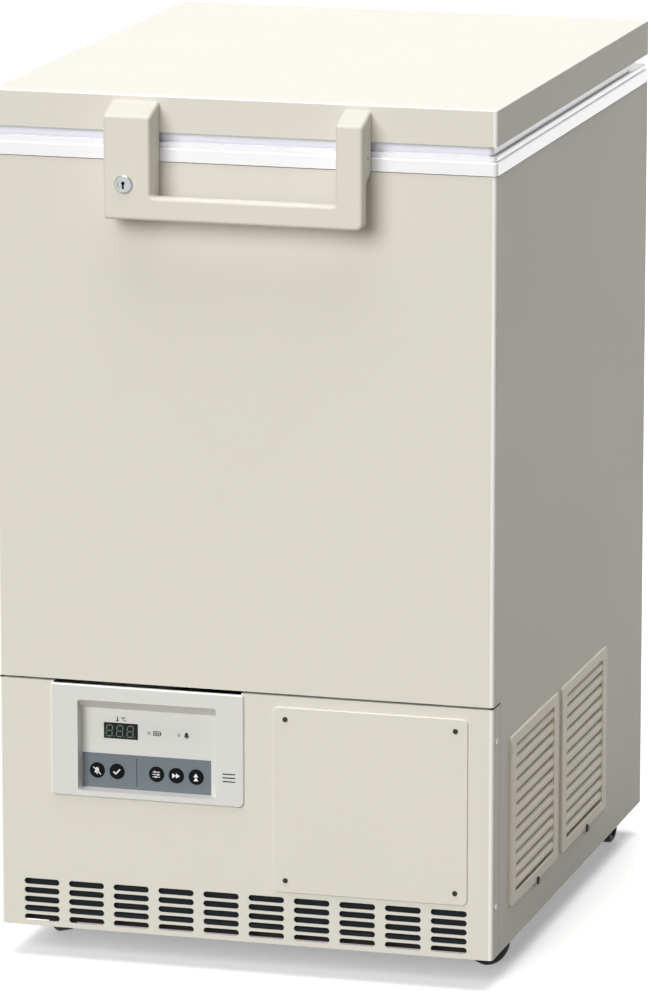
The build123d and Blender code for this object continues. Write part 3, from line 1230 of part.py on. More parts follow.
def fork_legs(x, y, heading, trail, top):
    """Two legs from height top down to the axle, with the axle and its nuts."""
    wheel_x, wheel_y = trailing_wheel(x, y, heading, trail)
    leg_face = FORK_GAP + FORK_SHEET
    half_axle = leg_face + NUT_HEIGHT
    with BuildPart() as legs:
        for along in (-leg_face, FORK_GAP):
            with BuildSketch(leg_plane(x, y, heading, along)):
                with BuildLine():
                    CenterArc((trail, WHEEL_RADIUS), FORK_EYE, 0, 360)
                    Line((trail / 4 - CROWN_RADIUS, top), (trail / 4 + CROWN_RADIUS, top))
                make_hull()
            extrude(amount=FORK_SHEET)
        with BuildSketch(leg_plane(wheel_x, wheel_y, heading, -half_axle)):
            with Locations((0, WHEEL_RADIUS)):
                Circle(AXLE_RADIUS)
        extrude(amount=2 * half_axle)
        for along in (-half_axle, leg_face):
            with BuildSketch(leg_plane(wheel_x, wheel_y, heading, along)):
                with Locations((0, WHEEL_RADIUS)):
                    RegularPolygon(NUT_RADIUS, 6)
            extrude(amount=NUT_HEIGHT)
    return legs


with BuildPart() as front_caster_plates:
    for side in (-1, 1):
        with BuildSketch(Plane((side * FRONT_CASTER_X, FRONT_CASTER_Y, PAN_BASE))):
            RectangleRounded(CASTER_PLATE_WIDTH, CASTER_PLATE_WIDTH, EDGE_RADIUS)
        extrude(amount=-CASTER_PLATE)
        with BuildSketch(Plane((side * FRONT_CASTER_X, FRONT_CASTER_Y, PAN_BASE))):
            Circle(CROWN_RADIUS)
        extrude(amount=-(CASTER_PLATE + RACE_HEIGHT - SEAT))
        with BuildSketch(Plane((side * FRONT_CASTER_X, FRONT_CASTER_Y, PAN_BASE))):
            Circle(KINGPIN_RADIUS)
        extrude(amount=-(PAN_BASE - CROWN_BASE))
keep(front_caster_plates, "front_caster_plates")

for side, word in ((-1, "left"), (1, "right")):
    heading = -side * FRONT_HEADING
    caster_at = (side * FRONT_CASTER_X, FRONT_CASTER_Y)
    front_legs = fork_legs(*caster_at, heading, TRAIL, CROWN_BASE + CROWN_SHEET)
    with BuildPart() as front_fork:
        add(front_legs.part)
        with BuildSketch(Plane((*caster_at, CROWN_BASE))):
            Circle(CROWN_RADIUS)
            Rectangle(2 * (FORK_GAP + FORK_SHEET), 2 * CROWN_RADIUS, rotation=heading)
            Circle(KINGPIN_RADIUS + RUNNING, mode=Mode.SUBTRACT)
        extrude(amount=CROWN_SHEET)
    keep(front_fork, f"front_fork_{word}")
    wheel_at = trailing_wheel(*caster_at, heading, TRAIL)
    keep(caster_wheel(*wheel_at, heading), f"front_wheel_{word}")
    keep(caster_wheel(side * REAR_CASTER_X, REAR_CASTER_Y, 0), f"rear_wheel_{word}")

rear_legs = [fork_legs(side * REAR_CASTER_X, REAR_CASTER_Y, 0, 0, PAN_BASE) for side in (-1, 1)]
with BuildPart() as rear_forks:
    for side, legs in zip((-1, 1), rear_legs):
        add(legs.part)
        with BuildSketch(Plane((side * REAR_CASTER_X, REAR_CASTER_Y, PAN_BASE))):
            Rectangle(2 * (FORK_GAP + FORK_SHEET), CASTER_PLATE_WIDTH)
        extrude(amount=-CASTER_PLATE)
keep(rear_forks, "rear_forks")

# Machine space: air filter, condenser and fan

with BuildPart() as condenser_filter:
    FILTER_FACE = BODY_FRONT + SHEET
    FILTER_WIDTH = BODY_WIDTH - 2 * FILTER_MARGIN
    FILTER_Z = FILTER_BASE + FILTER_HEIGHT / 2
    with BuildSketch(upright(FILTER_FACE)):
        with Locations((0, FILTER_Z)):
            Rectangle(FILTER_WIDTH, FILTER_HEIGHT)
            offset(amount=-FILTER_FRAME, mode=Mode.SUBTRACT)
    extrude(amount=-FILTER_DEPTH)
    with BuildSketch(upright(FILTER_FACE + FILTER_DEPTH / 2)):
        with Locations((0, FILTER_Z)):
            Rectangle(FILTER_WIDTH - FILTER_FRAME, FILTER_HEIGHT - FILTER_FRAME)
    extrude(amount=-FILTER_MESH)
keep(condenser_filter, "condenser_filter")

BATTERY_X = INNER_SIDE - BATTERY_MARGIN - BATTERY_WIDTH / 2
CONDENSER_LEFT = CONDENSER_MARGIN - INNER_SIDE
CONDENSER_WIDTH = BATTERY_X - BATTERY_WIDTH / 2 - CONDENSER_GAP - CONDENSER_LEFT
CONDENSER_X = CONDENSER_LEFT + CONDENSER_WIDTH / 2
CONDENSER_FACE = FRONT + CONDENSER_SETBACK
CONDENSER_BACK = CONDENSER_FACE + CONDENSER_DEPTH
CONDENSER_MID = CONDENSER_FACE + CONDENSER_DEPTH / 2
CONDENSER_Z = PAN_TOP + CONDENSER_HEIGHT / 2
FIN_PITCH = CONDENSER_WIDTH / (CONDENSER_FINS + 1)

with BuildPart() as condenser:
    with BuildSketch(Plane((CONDENSER_X, CONDENSER_FACE, PAN_TOP))):
        Rectangle(CONDENSER_WIDTH, CONDENSER_DEPTH, align=(Align.CENTER, Align.MIN))
        for edge in (FIN_CUT / 2, CONDENSER_DEPTH - FIN_CUT / 2):
            with Locations((0, edge)):
                with GridLocations(FIN_PITCH, 1, CONDENSER_FINS, 1):
                    Rectangle(FIN_SLOT, FIN_CUT, mode=Mode.SUBTRACT)
    extrude(amount=CONDENSER_HEIGHT)
    # Hairpin bends stand out of both ends.
    for side in (-1, 1):
        end = CONDENSER_X + side * CONDENSER_WIDTH / 2
        for bend in range(BEND_COUNT):
            middle = PAN_TOP + (bend + 0.5) * CONDENSER_HEIGHT / BEND_COUNT
            with BuildSketch(Plane((end, CONDENSER_MID, middle), z_dir=(side, 0, 0))):
                Rectangle(2 * PIPE_RADIUS, 2 * (BEND_RADIUS + PIPE_RADIUS), rotation=90)
            extrude(amount=BEND_RADIUS)
            outer_edges = edges().group_by(Axis.X)[-1 if side > 0 else 0].filter_by(Axis.Y)
            fillet(outer_edges, PIPE_RADIUS)
keep(condenser, "condenser")

with BuildPart() as fan_shroud:
    with BuildSketch(upright(CONDENSER_BACK)):
        with Locations((CONDENSER_X, CONDENSER_Z)):
            Rectangle(CONDENSER_WIDTH, CONDENSER_HEIGHT)
            Circle(FAN_RADIUS + FAN_TIP_GAP, mode=Mode.SUBTRACT)
    extrude(amount=-SHROUD_SHEET)
    with BuildSketch(upright(CONDENSER_BACK)):
        with Locations((CONDENSER_X, CONDENSER_Z)):
            Circle(FAN_RADIUS + FAN_TIP_GAP + SHROUD_SHEET)
            Circle(FAN_RADIUS + FAN_TIP_GAP, mode=Mode.SUBTRACT)
    extrude(amount=-SHROUD_RING)
keep(fan_shroud, "fan_shroud")

FAN_FACE = CONDENSER_BACK + MOTOR_GAP
MOTOR_FACE = FAN_FACE + FAN_HUB_DEPTH + MOTOR_GAP
SHROUD_BACK = CONDENSER_BACK + SHROUD_RING

with BuildPart() as fan_motor:
    with BuildSketch(upright(MOTOR_FACE)):
        with Locations((CONDENSER_X, CONDENSER_Z)):
            Circle(MOTOR_RADIUS)
    extrude(amount=-MOTOR_LENGTH)
    fillet(edges().group_by(Axis.Y)[-1], MOTOR_RADIUS / 5)
    # Four arms run from the motor's sides out to the back of the ring.
    arm_reach = FAN_RADIUS + FAN_TIP_GAP + SHROUD_SHEET
    with BuildSketch(upright(MOTOR_FACE)):
        with Locations((CONDENSER_X, CONDENSER_Z)):
            Rectangle(2 * arm_reach, ARM_WIDTH)
            Rectangle(ARM_WIDTH, 2 * arm_reach)
    extrude(amount=-2 * SHROUD_SHEET)
    for across, along in ((1, 0), (-1, 0), (0, 1), (0, -1)):
        with BuildSketch(upright(MOTOR_FACE)):
            with Locations(
                (
                    CONDENSER_X + across * (arm_reach - SHROUD_SHEET),
                    CONDENSER_Z + along * (arm_reach - SHROUD_SHEET),
                )
            ):
                Rectangle(
                    2 * SHROUD_SHEET if across else ARM_WIDTH, 2 * SHROUD_SHEET if along else ARM_WIDTH
                )
        extrude(amount=MOTOR_FACE - SHROUD_BACK)
    with BuildSketch(upright(MOTOR_FACE)):
        with Locations((CONDENSER_X, CONDENSER_Z)):
            Circle(SHAFT_RADIUS + RUNNING)
    extrude(amount=-MOTOR_LENGTH / 2, mode=Mode.SUBTRACT)
keep(fan_motor, "fan_motor")

with BuildPart() as fan_blade:
    for radius, pitch in ((FAN_HUB - FAN_BLADE_THICK, FAN_ROOT_PITCH), (FAN_RADIUS, FAN_TIP_PITCH)):
        with BuildSketch(Plane((radius, 0, 0), x_dir=(0, 1, 0), z_dir=(1, 0, 0))):
            Rectangle(FAN_CHORD, FAN_BLADE_THICK, rotation=pitch)
    loft()

with BuildPart(upright(FAN_FACE + FAN_HUB_DEPTH / 2)) as fan_rotor:
    with Locations((CONDENSER_X, CONDENSER_Z)):
        Cylinder(FAN_HUB, FAN_HUB_DEPTH)
        with PolarLocations(0, FAN_BLADES):
            add(fan_blade.part)
    with Locations((CONDENSER_X, CONDENSER_Z, -FAN_HUB_DEPTH / 2)):
        shaft_length = MOTOR_GAP + MOTOR_LENGTH / 3
        Cylinder(SHAFT_RADIUS, shaft_length, align=(Align.CENTER, Align.CENTER, Align.MAX))
keep(fan_rotor, "fan_rotor")

# Machine space: compressor, pipes and drier

FOOT_BASE = PAN_TOP + MOUNT_HEIGHT
SHELL_BASE = FOOT_BASE + FOOT_SHEET
FOOT_SIZE = FOOT_WIDTH + 2 * FOOT_MARGIN

with BuildPart() as compressor:
    with BuildSketch(Plane((COMPRESSOR_X, COMPRESSOR_Y, FOOT_BASE))):
        RectangleRounded(FOOT_SIZE, FOOT_SIZE, FOOT_MARGIN)
        with GridLocations(FOOT_WIDTH, FOOT_WIDTH, 2, 2):
            Circle(STUD_RADIUS + SEAT, mode=Mode.SUBTRACT)
    extrude(amount=FOOT_SHEET)
    with BuildSketch(Plane((COMPRESSOR_X, COMPRESSOR_Y, SHELL_BASE), x_dir=(1, 0, 0), z_dir=(0, -1, 0))):
        Rectangle(COMPRESSOR_RADIUS, COMPRESSOR_HEIGHT, align=Align.MIN)
        fillet(vertices().sort_by_distance((COMPRESSOR_RADIUS, COMPRESSOR_HEIGHT))[0], COMPRESSOR_DOME)
        # Weld flange where the two halves of the shell meet
        with Locations((COMPRESSOR_RADIUS, COMPRESSOR_HEIGHT / 2)):
            Rectangle(2 * COMPRESSOR_BEAD, 2 * COMPRESSOR_BEAD)
    revolve(axis=Axis((COMPRESSOR_X, COMPRESSOR_Y, 0), (0, 0, 1)))
    with BuildSketch(Plane((COMPRESSOR_X, COMPRESSOR_Y, SHELL_BASE + TERMINAL_HEIGHT / 3))):
        with Locations((0, COMPRESSOR_RADIUS)):
            Rectangle(TERMINAL_WIDTH, 2 * TERMINAL_DEPTH)
    extrude(amount=TERMINAL_HEIGHT)
keep(compressor, "compressor")

with BuildPart() as compressor_mounts:
    with BuildSketch(Plane((COMPRESSOR_X, COMPRESSOR_Y, PAN_TOP))):
        with GridLocations(FOOT_WIDTH, FOOT_WIDTH, 2, 2):
            Circle(MOUNT_RADIUS)
    extrude(amount=MOUNT_HEIGHT)
    chamfer(edges().group_by(Axis.Z)[0], MOUNT_HEIGHT / 5)
    with BuildSketch(Plane((COMPRESSOR_X, COMPRESSOR_Y, FOOT_BASE))):
        with GridLocations(FOOT_WIDTH, FOOT_WIDTH, 2, 2):
            Circle(STUD_RADIUS)
    extrude(amount=2 * FOOT_SHEET)
keep(compressor_mounts, "compressor_mounts")

DISCHARGE_X = CONDENSER_X + CONDENSER_WIDTH / 4
PIPE_LEVEL = PAN_TOP + CONDENSER_HEIGHT + PIPE_RISE
SUCTION_LEVEL = WRAP_FRONT_BASE - SUCTION_DROP
DRIER_Y = FRONT + DRIER_SETBACK
DRIER_Z = PAN_TOP + DRIER_RADIUS


def bent_pipe(points, radius, bend):
    """A pipe of straight runs and round bends along the points."""
    with BuildPart() as pipe:
        with BuildLine() as route:
            FilletPolyline(*points, radius=bend)
        with BuildSketch(Plane(route.line @ 0, z_dir=route.line % 0)):
            Circle(radius)
        sweep(path=route.line)
    return pipe


# From the compressor's shell over to the condenser's top
discharge_pipe = bent_pipe(
    [
        (COMPRESSOR_X + COMPRESSOR_RADIUS, COMPRESSOR_Y, PIPE_LEVEL),
        (DISCHARGE_X, COMPRESSOR_Y, PIPE_LEVEL),
        (DISCHARGE_X, CONDENSER_MID, PIPE_LEVEL),
        (DISCHARGE_X, CONDENSER_MID, PAN_TOP + CONDENSER_HEIGHT),
    ],
    PIPE_RADIUS,
    PIPE_BEND,
)
# From the coil's end in the ceiling down to the compressor's shell
suction_pipe = bent_pipe(
    [
        (-COIL_X, COMPRESSOR_Y, WRAP_FRONT_BASE),
        (-COIL_X, COMPRESSOR_Y, SUCTION_LEVEL),
        (COMPRESSOR_X - COMPRESSOR_RADIUS, COMPRESSOR_Y, SUCTION_LEVEL),
    ],
    PIPE_RADIUS,
    PIPE_BEND,
)
# From the drier along the pan and up to the coil's other end
capillary_tube = bent_pipe(
    [
        (COIL_X, DRIER_Y + DRIER_LENGTH, DRIER_Z),
        (COIL_X, CAPILLARY_Y, DRIER_Z),
        (COIL_X, CAPILLARY_Y, WRAP_FRONT_BASE),
    ],
    CAPILLARY_RADIUS,
    CAPILLARY_BEND,
)
with BuildPart() as refrigerant_pipes:
    add(discharge_pipe.part)
    add(suction_pipe.part)
    add(capillary_tube.part)
keep(refrigerant_pipes, "refrigerant_pipes")

with BuildPart() as filter_drier:
    with BuildSketch(upright(DRIER_Y)):
        with Locations((COIL_X, DRIER_Z)):
            Circle(DRIER_RADIUS)
    extrude(amount=-DRIER_LENGTH)
    chamfer(edges().group_by(Axis.Y)[0] + edges().group_by(Axis.Y)[-1], DRIER_RADIUS / 2)
keep(filter_drier, "filter_drier")

# Electrics

BOX_LEFT = COMPRESSOR_X + FOOT_SIZE / 2 + BOX_GAP
BOX_WIDTH = INNER_SIDE - BOX_MARGIN - BOX_LEFT
BOX_X = BOX_LEFT + BOX_WIDTH / 2
BOX_Y = BACK - BOX_REACH

with BuildPart() as electrical_box:
    with BuildSketch(Plane((BOX_X, BOX_Y, PAN_TOP))):
        RectangleRounded(BOX_WIDTH, BOX_DEPTH, BOX_RADIUS)
    extrude(amount=BOX_HEIGHT)
    with BuildSketch(Plane((BOX_X, BOX_Y, PAN_TOP + BOX_HEIGHT))):
        RectangleRounded(BOX_WIDTH + BOX_LID, BOX_DEPTH + BOX_LID, BOX_RADIUS)
    extrude(amount=BOX_LID)
    fillet(faces().sort_by(Axis.Z)[-1].edges(), BOX_LID / 3)
keep(electrical_box, "electrical_box")

with BuildPart() as backup_battery:
    with BuildSketch(Plane((BATTERY_X, FRONT + BATTERY_SETBACK, PAN_TOP))):
        RectangleRounded(BATTERY_WIDTH, BATTERY_DEPTH, BOX_RADIUS)
    extrude(amount=BATTERY_HEIGHT)
    chamfer(faces().sort_by(Axis.Z)[-1].edges(), BOX_RADIUS / 2)
keep(backup_battery, "backup_battery")

INLET_Z = ENTRY_Z + INLET_RISE
ROCKER_Z = ENTRY_Z + ROCKER_RISE
ENTRY_FACE = BODY_BACK + ENTRY_FLANGE_THICK

with BuildPart() as power_entry:
    with BuildSketch(upright(BODY_BACK)):
        with Locations((ENTRY_X, ENTRY_Z)):
            Rectangle(ENTRY_WIDTH, ENTRY_HEIGHT)
    extrude(amount=ENTRY_DEPTH)
    with BuildSketch(upright(BODY_BACK)):
        with Locations((ENTRY_X, ENTRY_Z)):
            RectangleRounded(
                ENTRY_WIDTH + 2 * ENTRY_FLANGE, ENTRY_HEIGHT + 2 * ENTRY_FLANGE, ENTRY_FLANGE
            )
    extrude(amount=-ENTRY_FLANGE_THICK)
    with BuildSketch(upright(ENTRY_FACE)):
        with Locations((ENTRY_X, INLET_Z)):
            Rectangle(INLET_WIDTH, INLET_HEIGHT)
            chamfer(vertices().group_by(Axis.Y)[-1], INLET_HEIGHT / 4)
    extrude(amount=INLET_DEPTH, mode=Mode.SUBTRACT)
    with BuildSketch(upright(ENTRY_FACE - INLET_DEPTH)):
        with Locations((ENTRY_X, INLET_Z)):
            with GridLocations(PRONG_PITCH, 1, 3, 1):
                Circle(PRONG_RADIUS)
    extrude(amount=-PRONG_LENGTH)
    with BuildSketch(upright(ENTRY_FACE)):
        with Locations((ENTRY_X, ROCKER_Z)):
            Rectangle(ROCKER_WIDTH + 2 * ROCKER_ROOM, ROCKER_HEIGHT + 2 * ROCKER_ROOM)
    extrude(amount=INLET_DEPTH, mode=Mode.SUBTRACT)
    # The rocker's two pivots stand in from the sides of its well.
    with BuildSketch(sideways(ENTRY_X - ROCKER_WIDTH / 2 - ROCKER_ROOM)):
        with Locations((ENTRY_FACE - INLET_DEPTH / 2, ROCKER_Z)):
            Circle(PIVOT_RADIUS)
    extrude(amount=ROCKER_WIDTH + 2 * ROCKER_ROOM)
keep(power_entry, "power_entry")

with BuildPart() as switch_rocker:
    LEAN = radians(ROCKER_TILT)
    ROCKER_PLANE = Plane(
        (ENTRY_X - ROCKER_WIDTH / 2, ENTRY_FACE - INLET_DEPTH / 2, ROCKER_Z),
        x_dir=(0, cos(LEAN), sin(LEAN)),
        z_dir=(1, 0, 0),
    )
    HALF_ROCKER = ROCKER_HEIGHT / 2 - ROCKER_ROOM
    with BuildSketch(ROCKER_PLANE):
        with BuildLine():
            Polyline(
                (INLET_DEPTH / 2 + ROCKER_PROUD, HALF_ROCKER),
                (INLET_DEPTH / 2, 0),
                (INLET_DEPTH / 2 + ROCKER_PROUD, -HALF_ROCKER),
                (0, -HALF_ROCKER / 2),
                (-PIVOT_RADIUS * 2, 0),
                (0, HALF_ROCKER / 2),
                close=True,
            )
        make_face()
        Circle(PIVOT_RADIUS + RUNNING, mode=Mode.SUBTRACT)
    extrude(amount=ROCKER_WIDTH)
keep(switch_rocker, "switch_rocker")
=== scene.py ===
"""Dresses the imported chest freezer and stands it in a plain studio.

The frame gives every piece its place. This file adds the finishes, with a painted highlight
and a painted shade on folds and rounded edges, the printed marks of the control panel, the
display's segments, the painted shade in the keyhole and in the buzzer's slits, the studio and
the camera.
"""

import logging
import math
from dataclasses import dataclass, field, replace
from enum import Enum
from typing import ClassVar

import bmesh
import bpy
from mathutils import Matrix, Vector


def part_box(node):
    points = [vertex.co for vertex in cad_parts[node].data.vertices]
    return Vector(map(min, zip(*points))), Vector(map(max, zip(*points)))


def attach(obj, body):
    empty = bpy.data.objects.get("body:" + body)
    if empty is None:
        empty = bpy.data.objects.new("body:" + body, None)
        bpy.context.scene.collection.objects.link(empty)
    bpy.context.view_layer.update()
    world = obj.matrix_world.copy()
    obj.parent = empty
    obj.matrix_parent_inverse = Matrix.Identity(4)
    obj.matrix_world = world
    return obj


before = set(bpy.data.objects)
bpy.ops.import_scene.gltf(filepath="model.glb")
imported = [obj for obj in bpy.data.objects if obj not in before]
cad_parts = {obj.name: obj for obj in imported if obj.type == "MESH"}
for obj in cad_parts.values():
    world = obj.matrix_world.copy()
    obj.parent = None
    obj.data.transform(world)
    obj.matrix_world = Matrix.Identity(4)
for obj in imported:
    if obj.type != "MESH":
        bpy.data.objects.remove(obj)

Point = tuple[float, float]
Outline = list[Point]

LOG = logging.getLogger("freezer")
MILLIMETRE = 0.001

# The curve of screen colours: straight below the knee, a power above it.
KNEE = 0.04045
STRAIGHT = 12.92
OFFSET = 0.055
POWER = 2.4

# Where a mix node keeps its two values, its two colours and the mixed colour.
VALUE_A, VALUE_B = 2, 3
COLOUR_A, COLOUR_B, COLOUR_OUT = 6, 7, 2


def linear(shade: str) -> tuple[float, float, float, float]:
    """Turns a screen colour into the light that a shader works with.

    Args:
        shade: six hexadecimal digits, red, green and blue.

    Returns:
        Red, green, blue and an alpha of 1, as linear values.
    """
    parts = [int(shade[i : i + 2], 16) / 255 for i in (0, 2, 4)]
    light = [
        p / STRAIGHT if p <= KNEE else ((p + OFFSET) / (1 + OFFSET)) ** POWER for p in parts
    ]
    return (*light, 1.0)


class Texture(Enum):
    """How a surface varies close to."""

    PEBBLED = "pebbled"
    MOULDED = "moulded"
    BRUSHED = "brushed"
    WOVEN = "woven"
    FOAMED = "foamed"


@dataclass
class TextureLibrary:
    """Builds each surface effect once, as a shader node group that the finishes share."""

    groups: dict[Texture, bpy.types.NodeTree] = field(default_factory=dict)
    stretch: tuple[float, float, float] = (0.02, 1.0, 1.0)
    slow_scale: float = 6.0
    fine_share: float = 0.5
    pebble_detail: float = 1.0
    grain_detail: float = 3.0
    # How far a surface must lean before the painted edge highlight or shade starts, and where it is
    # full.
    flat_lean: float = 0.9995
    round_lean: float = 0.96
    edge_name: str = "painted_edge_light_shade"

    def group(self, texture: Texture) -> bpy.types.NodeTree:
        """Gives the node group of a texture.

        Args:
            texture: which effect is wanted.

        Returns:
            The group, which is built on its first use.
        """
        if texture not in self.groups:
            self.groups[texture] = self._build(texture)
        return self.groups[texture]

    def _build(self, texture: Texture) -> bpy.types.NodeTree:
        """Builds the group of one texture.

        Args:
            texture: which effect is wanted.

        Returns:
            A group that puts out a colour, a roughness and a height.
        """
        tree = bpy.data.node_groups.new(f"{texture.value}_surface", "ShaderNodeTree")
        for name, kind in (
            ("Base", "NodeSocketColor"),
            ("Shade", "NodeSocketColor"),
            ("Gloss", "NodeSocketFloat"),
            ("Dullness", "NodeSocketFloat"),
            ("Scale", "NodeSocketFloat"),
        ):
            tree.interface.new_socket(name, in_out="INPUT", socket_type=kind)
        for name, kind in (
            ("Color", "NodeSocketColor"),
            ("Roughness", "NodeSocketFloat"),
            ("Height", "NodeSocketFloat"),
        ):
            tree.interface.new_socket(name, in_out="OUTPUT", socket_type=kind)
        nodes, links = tree.nodes, tree.links
        source = nodes.new("NodeGroupInput")
        result = nodes.new("NodeGroupOutput")
        place = nodes.new("ShaderNodeTexCoord")
        fine = self._fine_pattern(tree, texture, place, source)
        slow = nodes.new("ShaderNodeTexNoise")
        slow.inputs["Scale"].default_value = self.slow_scale
        links.new(place.outputs["Object"], slow.inputs["Vector"])
        blend = nodes.new("ShaderNodeMath")
        blend.operation = "MULTIPLY_ADD"
        blend.inputs[1].default_value = self.fine_share
        links.new(fine, blend.inputs[0])
        rest = nodes.new("ShaderNodeMath")
        rest.operation = "MULTIPLY"
        rest.inputs[1].default_value = 1 - self.fine_share
        links.new(slow.outputs["Fac"], rest.inputs[0])
        links.new(rest.outputs[0], blend.inputs[2])
        tint = nodes.new("ShaderNodeMix")
        tint.data_type = "RGBA"
        links.new(blend.outputs[0], tint.inputs[0])
        links.new(source.outputs["Base"], tint.inputs[COLOUR_A])
        links.new(source.outputs["Shade"], tint.inputs[COLOUR_B])
        rough = nodes.new("ShaderNodeMix")
        links.new(blend.outputs[0], rough.inputs[0])
        links.new(source.outputs["Gloss"], rough.inputs[VALUE_A])
        links.new(source.outputs["Dullness"], rough.inputs[VALUE_B])
        links.new(tint.outputs[COLOUR_OUT], result.inputs["Color"])
        links.new(rough.outputs[0], result.inputs["Roughness"])
        links.new(fine, result.inputs["Height"])
        return tree

    def _fine_pattern(
        self,
        tree: bpy.types.NodeTree,
        texture: Texture,
        place: bpy.types.Node,
        source: bpy.types.Node,
    ) -> bpy.types.NodeSocket:
        """Adds the close pattern of a texture.

        Args:
            tree: the group that is being built.
            texture: which effect is wanted.
            place: the node that gives the surface's own coordinates.
            source: the group's input node, for the pattern's scale.

        Returns:
            The socket that carries the pattern, from 0 to 1.
        """
        nodes, links = tree.nodes, tree.links
        vector = place.outputs["Object"]
        if texture is Texture.BRUSHED:
            mapping = nodes.new("ShaderNodeMapping")
            mapping.inputs["Scale"].default_value = self.stretch
            links.new(vector, mapping.inputs["Vector"])
            vector = mapping.outputs["Vector"]
        if texture is Texture.WOVEN:
            pattern = nodes.new("ShaderNodeTexChecker")
            out = pattern.outputs["Fac"]
        elif texture is Texture.FOAMED:
            pattern = nodes.new("ShaderNodeTexVoronoi")
            out = pattern.outputs["Distance"]
        else:
            pattern = nodes.new("ShaderNodeTexNoise")
            pebbled = texture is Texture.PEBBLED
            detail = self.pebble_detail if pebbled else self.grain_detail
            pattern.inputs["Detail"].default_value = detail
            out = pattern.outputs["Fac"]
        links.new(vector, pattern.inputs["Vector"])
        links.new(source.outputs["Scale"], pattern.inputs["Scale"])
        return out

    def painted_edge_group(self) -> bpy.types.NodeTree:
        """Gives the group that paints light and shade on folds and rounded edges: a paler edge
        colour is a painted highlight, a darker one a painted shade.

        Returns:
            A group that mixes the surface's colour with an edge colour where the surface leans.
        """
        tree = bpy.data.node_groups.get(self.edge_name)
        if tree is not None:
            return tree
        tree = bpy.data.node_groups.new(self.edge_name, "ShaderNodeTree")
        for name in ("Base", "Edge"):
            tree.interface.new_socket(name, in_out="INPUT", socket_type="NodeSocketColor")
        tree.interface.new_socket("Color", in_out="OUTPUT", socket_type="NodeSocketColor")
        nodes, links = tree.nodes, tree.links
        source = nodes.new("NodeGroupInput")
        result = nodes.new("NodeGroupOutput")
        place = nodes.new("ShaderNodeTexCoord")
        split = nodes.new("ShaderNodeSeparateXYZ")
        links.new(place.outputs["Normal"], split.inputs[0])
        largest = None
        for axis in split.outputs:
            size = nodes.new("ShaderNodeMath")
            size.operation = "ABSOLUTE"
            links.new(axis, size.inputs[0])
            if largest is None:
                largest = size.outputs[0]
                continue
            pair = nodes.new("ShaderNodeMath")
            pair.operation = "MAXIMUM"
            links.new(largest, pair.inputs[0])
            links.new(size.outputs[0], pair.inputs[1])
            largest = pair.outputs[0]
        lean = nodes.new("ShaderNodeMapRange")
        lean.inputs["From Min"].default_value = self.flat_lean
        lean.inputs["From Max"].default_value = self.round_lean
        links.new(largest, lean.inputs["Value"])
        mix = nodes.new("ShaderNodeMix")
        mix.data_type = "RGBA"
        links.new(lean.outputs["Result"], mix.inputs[0])
        links.new(source.outputs["Base"], mix.inputs[COLOUR_A])
        links.new(source.outputs["Edge"], mix.inputs[COLOUR_B])
        links.new(mix.outputs[COLOUR_OUT], result.inputs["Color"])
        return tree


TEXTURES = TextureLibrary()


@dataclass(frozen=True)
class Finish:
    """One finish: its colours, gloss and surface."""

    name: str
    base: str
    shade: str
    gloss: float
    dullness: float
    texture: Texture = Texture.MOULDED
    scale: float = 900.0
    relief: float = 0.05
    depth: float = 0.00005
    metallic: float = 0.0
    specular: float = 0.5
    coat: float = 0.0
    # edge: colour painted on folds and rounded edges in place of light, paler for a painted
    # highlight, darker for a painted shade.
    edge: str | None = None

    def material(self) -> bpy.types.Material:
        """Gives this finish's material, which is built on its first use.

        Returns:
            A material with one shader and the finish's surface group.
        """
        title = f"{self.name}_finish"
        made = bpy.data.materials.get(title)
        if made is not None:
            return made
        made = bpy.data.materials.new(title)
        made.use_nodes = True
        nodes, links = made.node_tree.nodes, made.node_tree.links
        shader = nodes["Principled BSDF"]
        surface = nodes.new("ShaderNodeGroup")
        surface.node_tree = TEXTURES.group(self.texture)
        surface.inputs["Base"].default_value = linear(self.base)
        surface.inputs["Shade"].default_value = linear(self.shade)
        surface.inputs["Gloss"].default_value = self.gloss
        surface.inputs["Dullness"].default_value = self.dullness
        surface.inputs["Scale"].default_value = self.scale
        bump = nodes.new("ShaderNodeBump")
        bump.inputs["Strength"].default_value = self.relief
        bump.inputs["Distance"].default_value = self.depth
        shader.inputs["Metallic"].default_value = self.metallic
        shader.inputs["Specular IOR Level"].default_value = self.specular
        shader.inputs["Coat Weight"].default_value = self.coat
        colour = surface.outputs["Color"]
        # Painted light: leaning faces move to the edge colour, a painted highlight where it is
        # paler and a painted shade where it is darker.
        if self.edge is not None:
            edge_painting = nodes.new("ShaderNodeGroup")
            edge_painting.node_tree = TEXTURES.painted_edge_group()
            edge_painting.inputs["Edge"].default_value = linear(self.edge)
            links.new(colour, edge_painting.inputs["Base"])
            colour = edge_painting.outputs["Color"]
        links.new(colour, shader.inputs["Base Color"])
        links.new(surface.outputs["Roughness"], shader.inputs["Roughness"])
        links.new(surface.outputs["Height"], bump.inputs["Height"])
        links.new(bump.outputs["Normal"], shader.inputs["Normal"])
        return made


# Shell paint: the near-white edge colour is a painted highlight along the folds and rounded
# corners.
SHELL_PAINT = Finish(
    "shell_paint", "DCD9CF", "D8D5CB", 0.40, 0.50, Texture.PEBBLED, 420.0,
    specular=0.18, edge="FFFEFB",
)
# The blank plate's copy carries a weaker painted highlight on its edges.
PLATE_PAINT = replace(SHELL_PAINT, name="plate_paint", edge="E6E4DB")
COLLAR_PLASTIC = Finish("collar_plastic", "F0F0F4", "ECECF1", 0.10, 0.18, coat=1.0)
GASKET_RUBBER = Finish("gasket_rubber", "E6E6F0", "DEDEEA", 0.22, 0.34, coat=0.6)
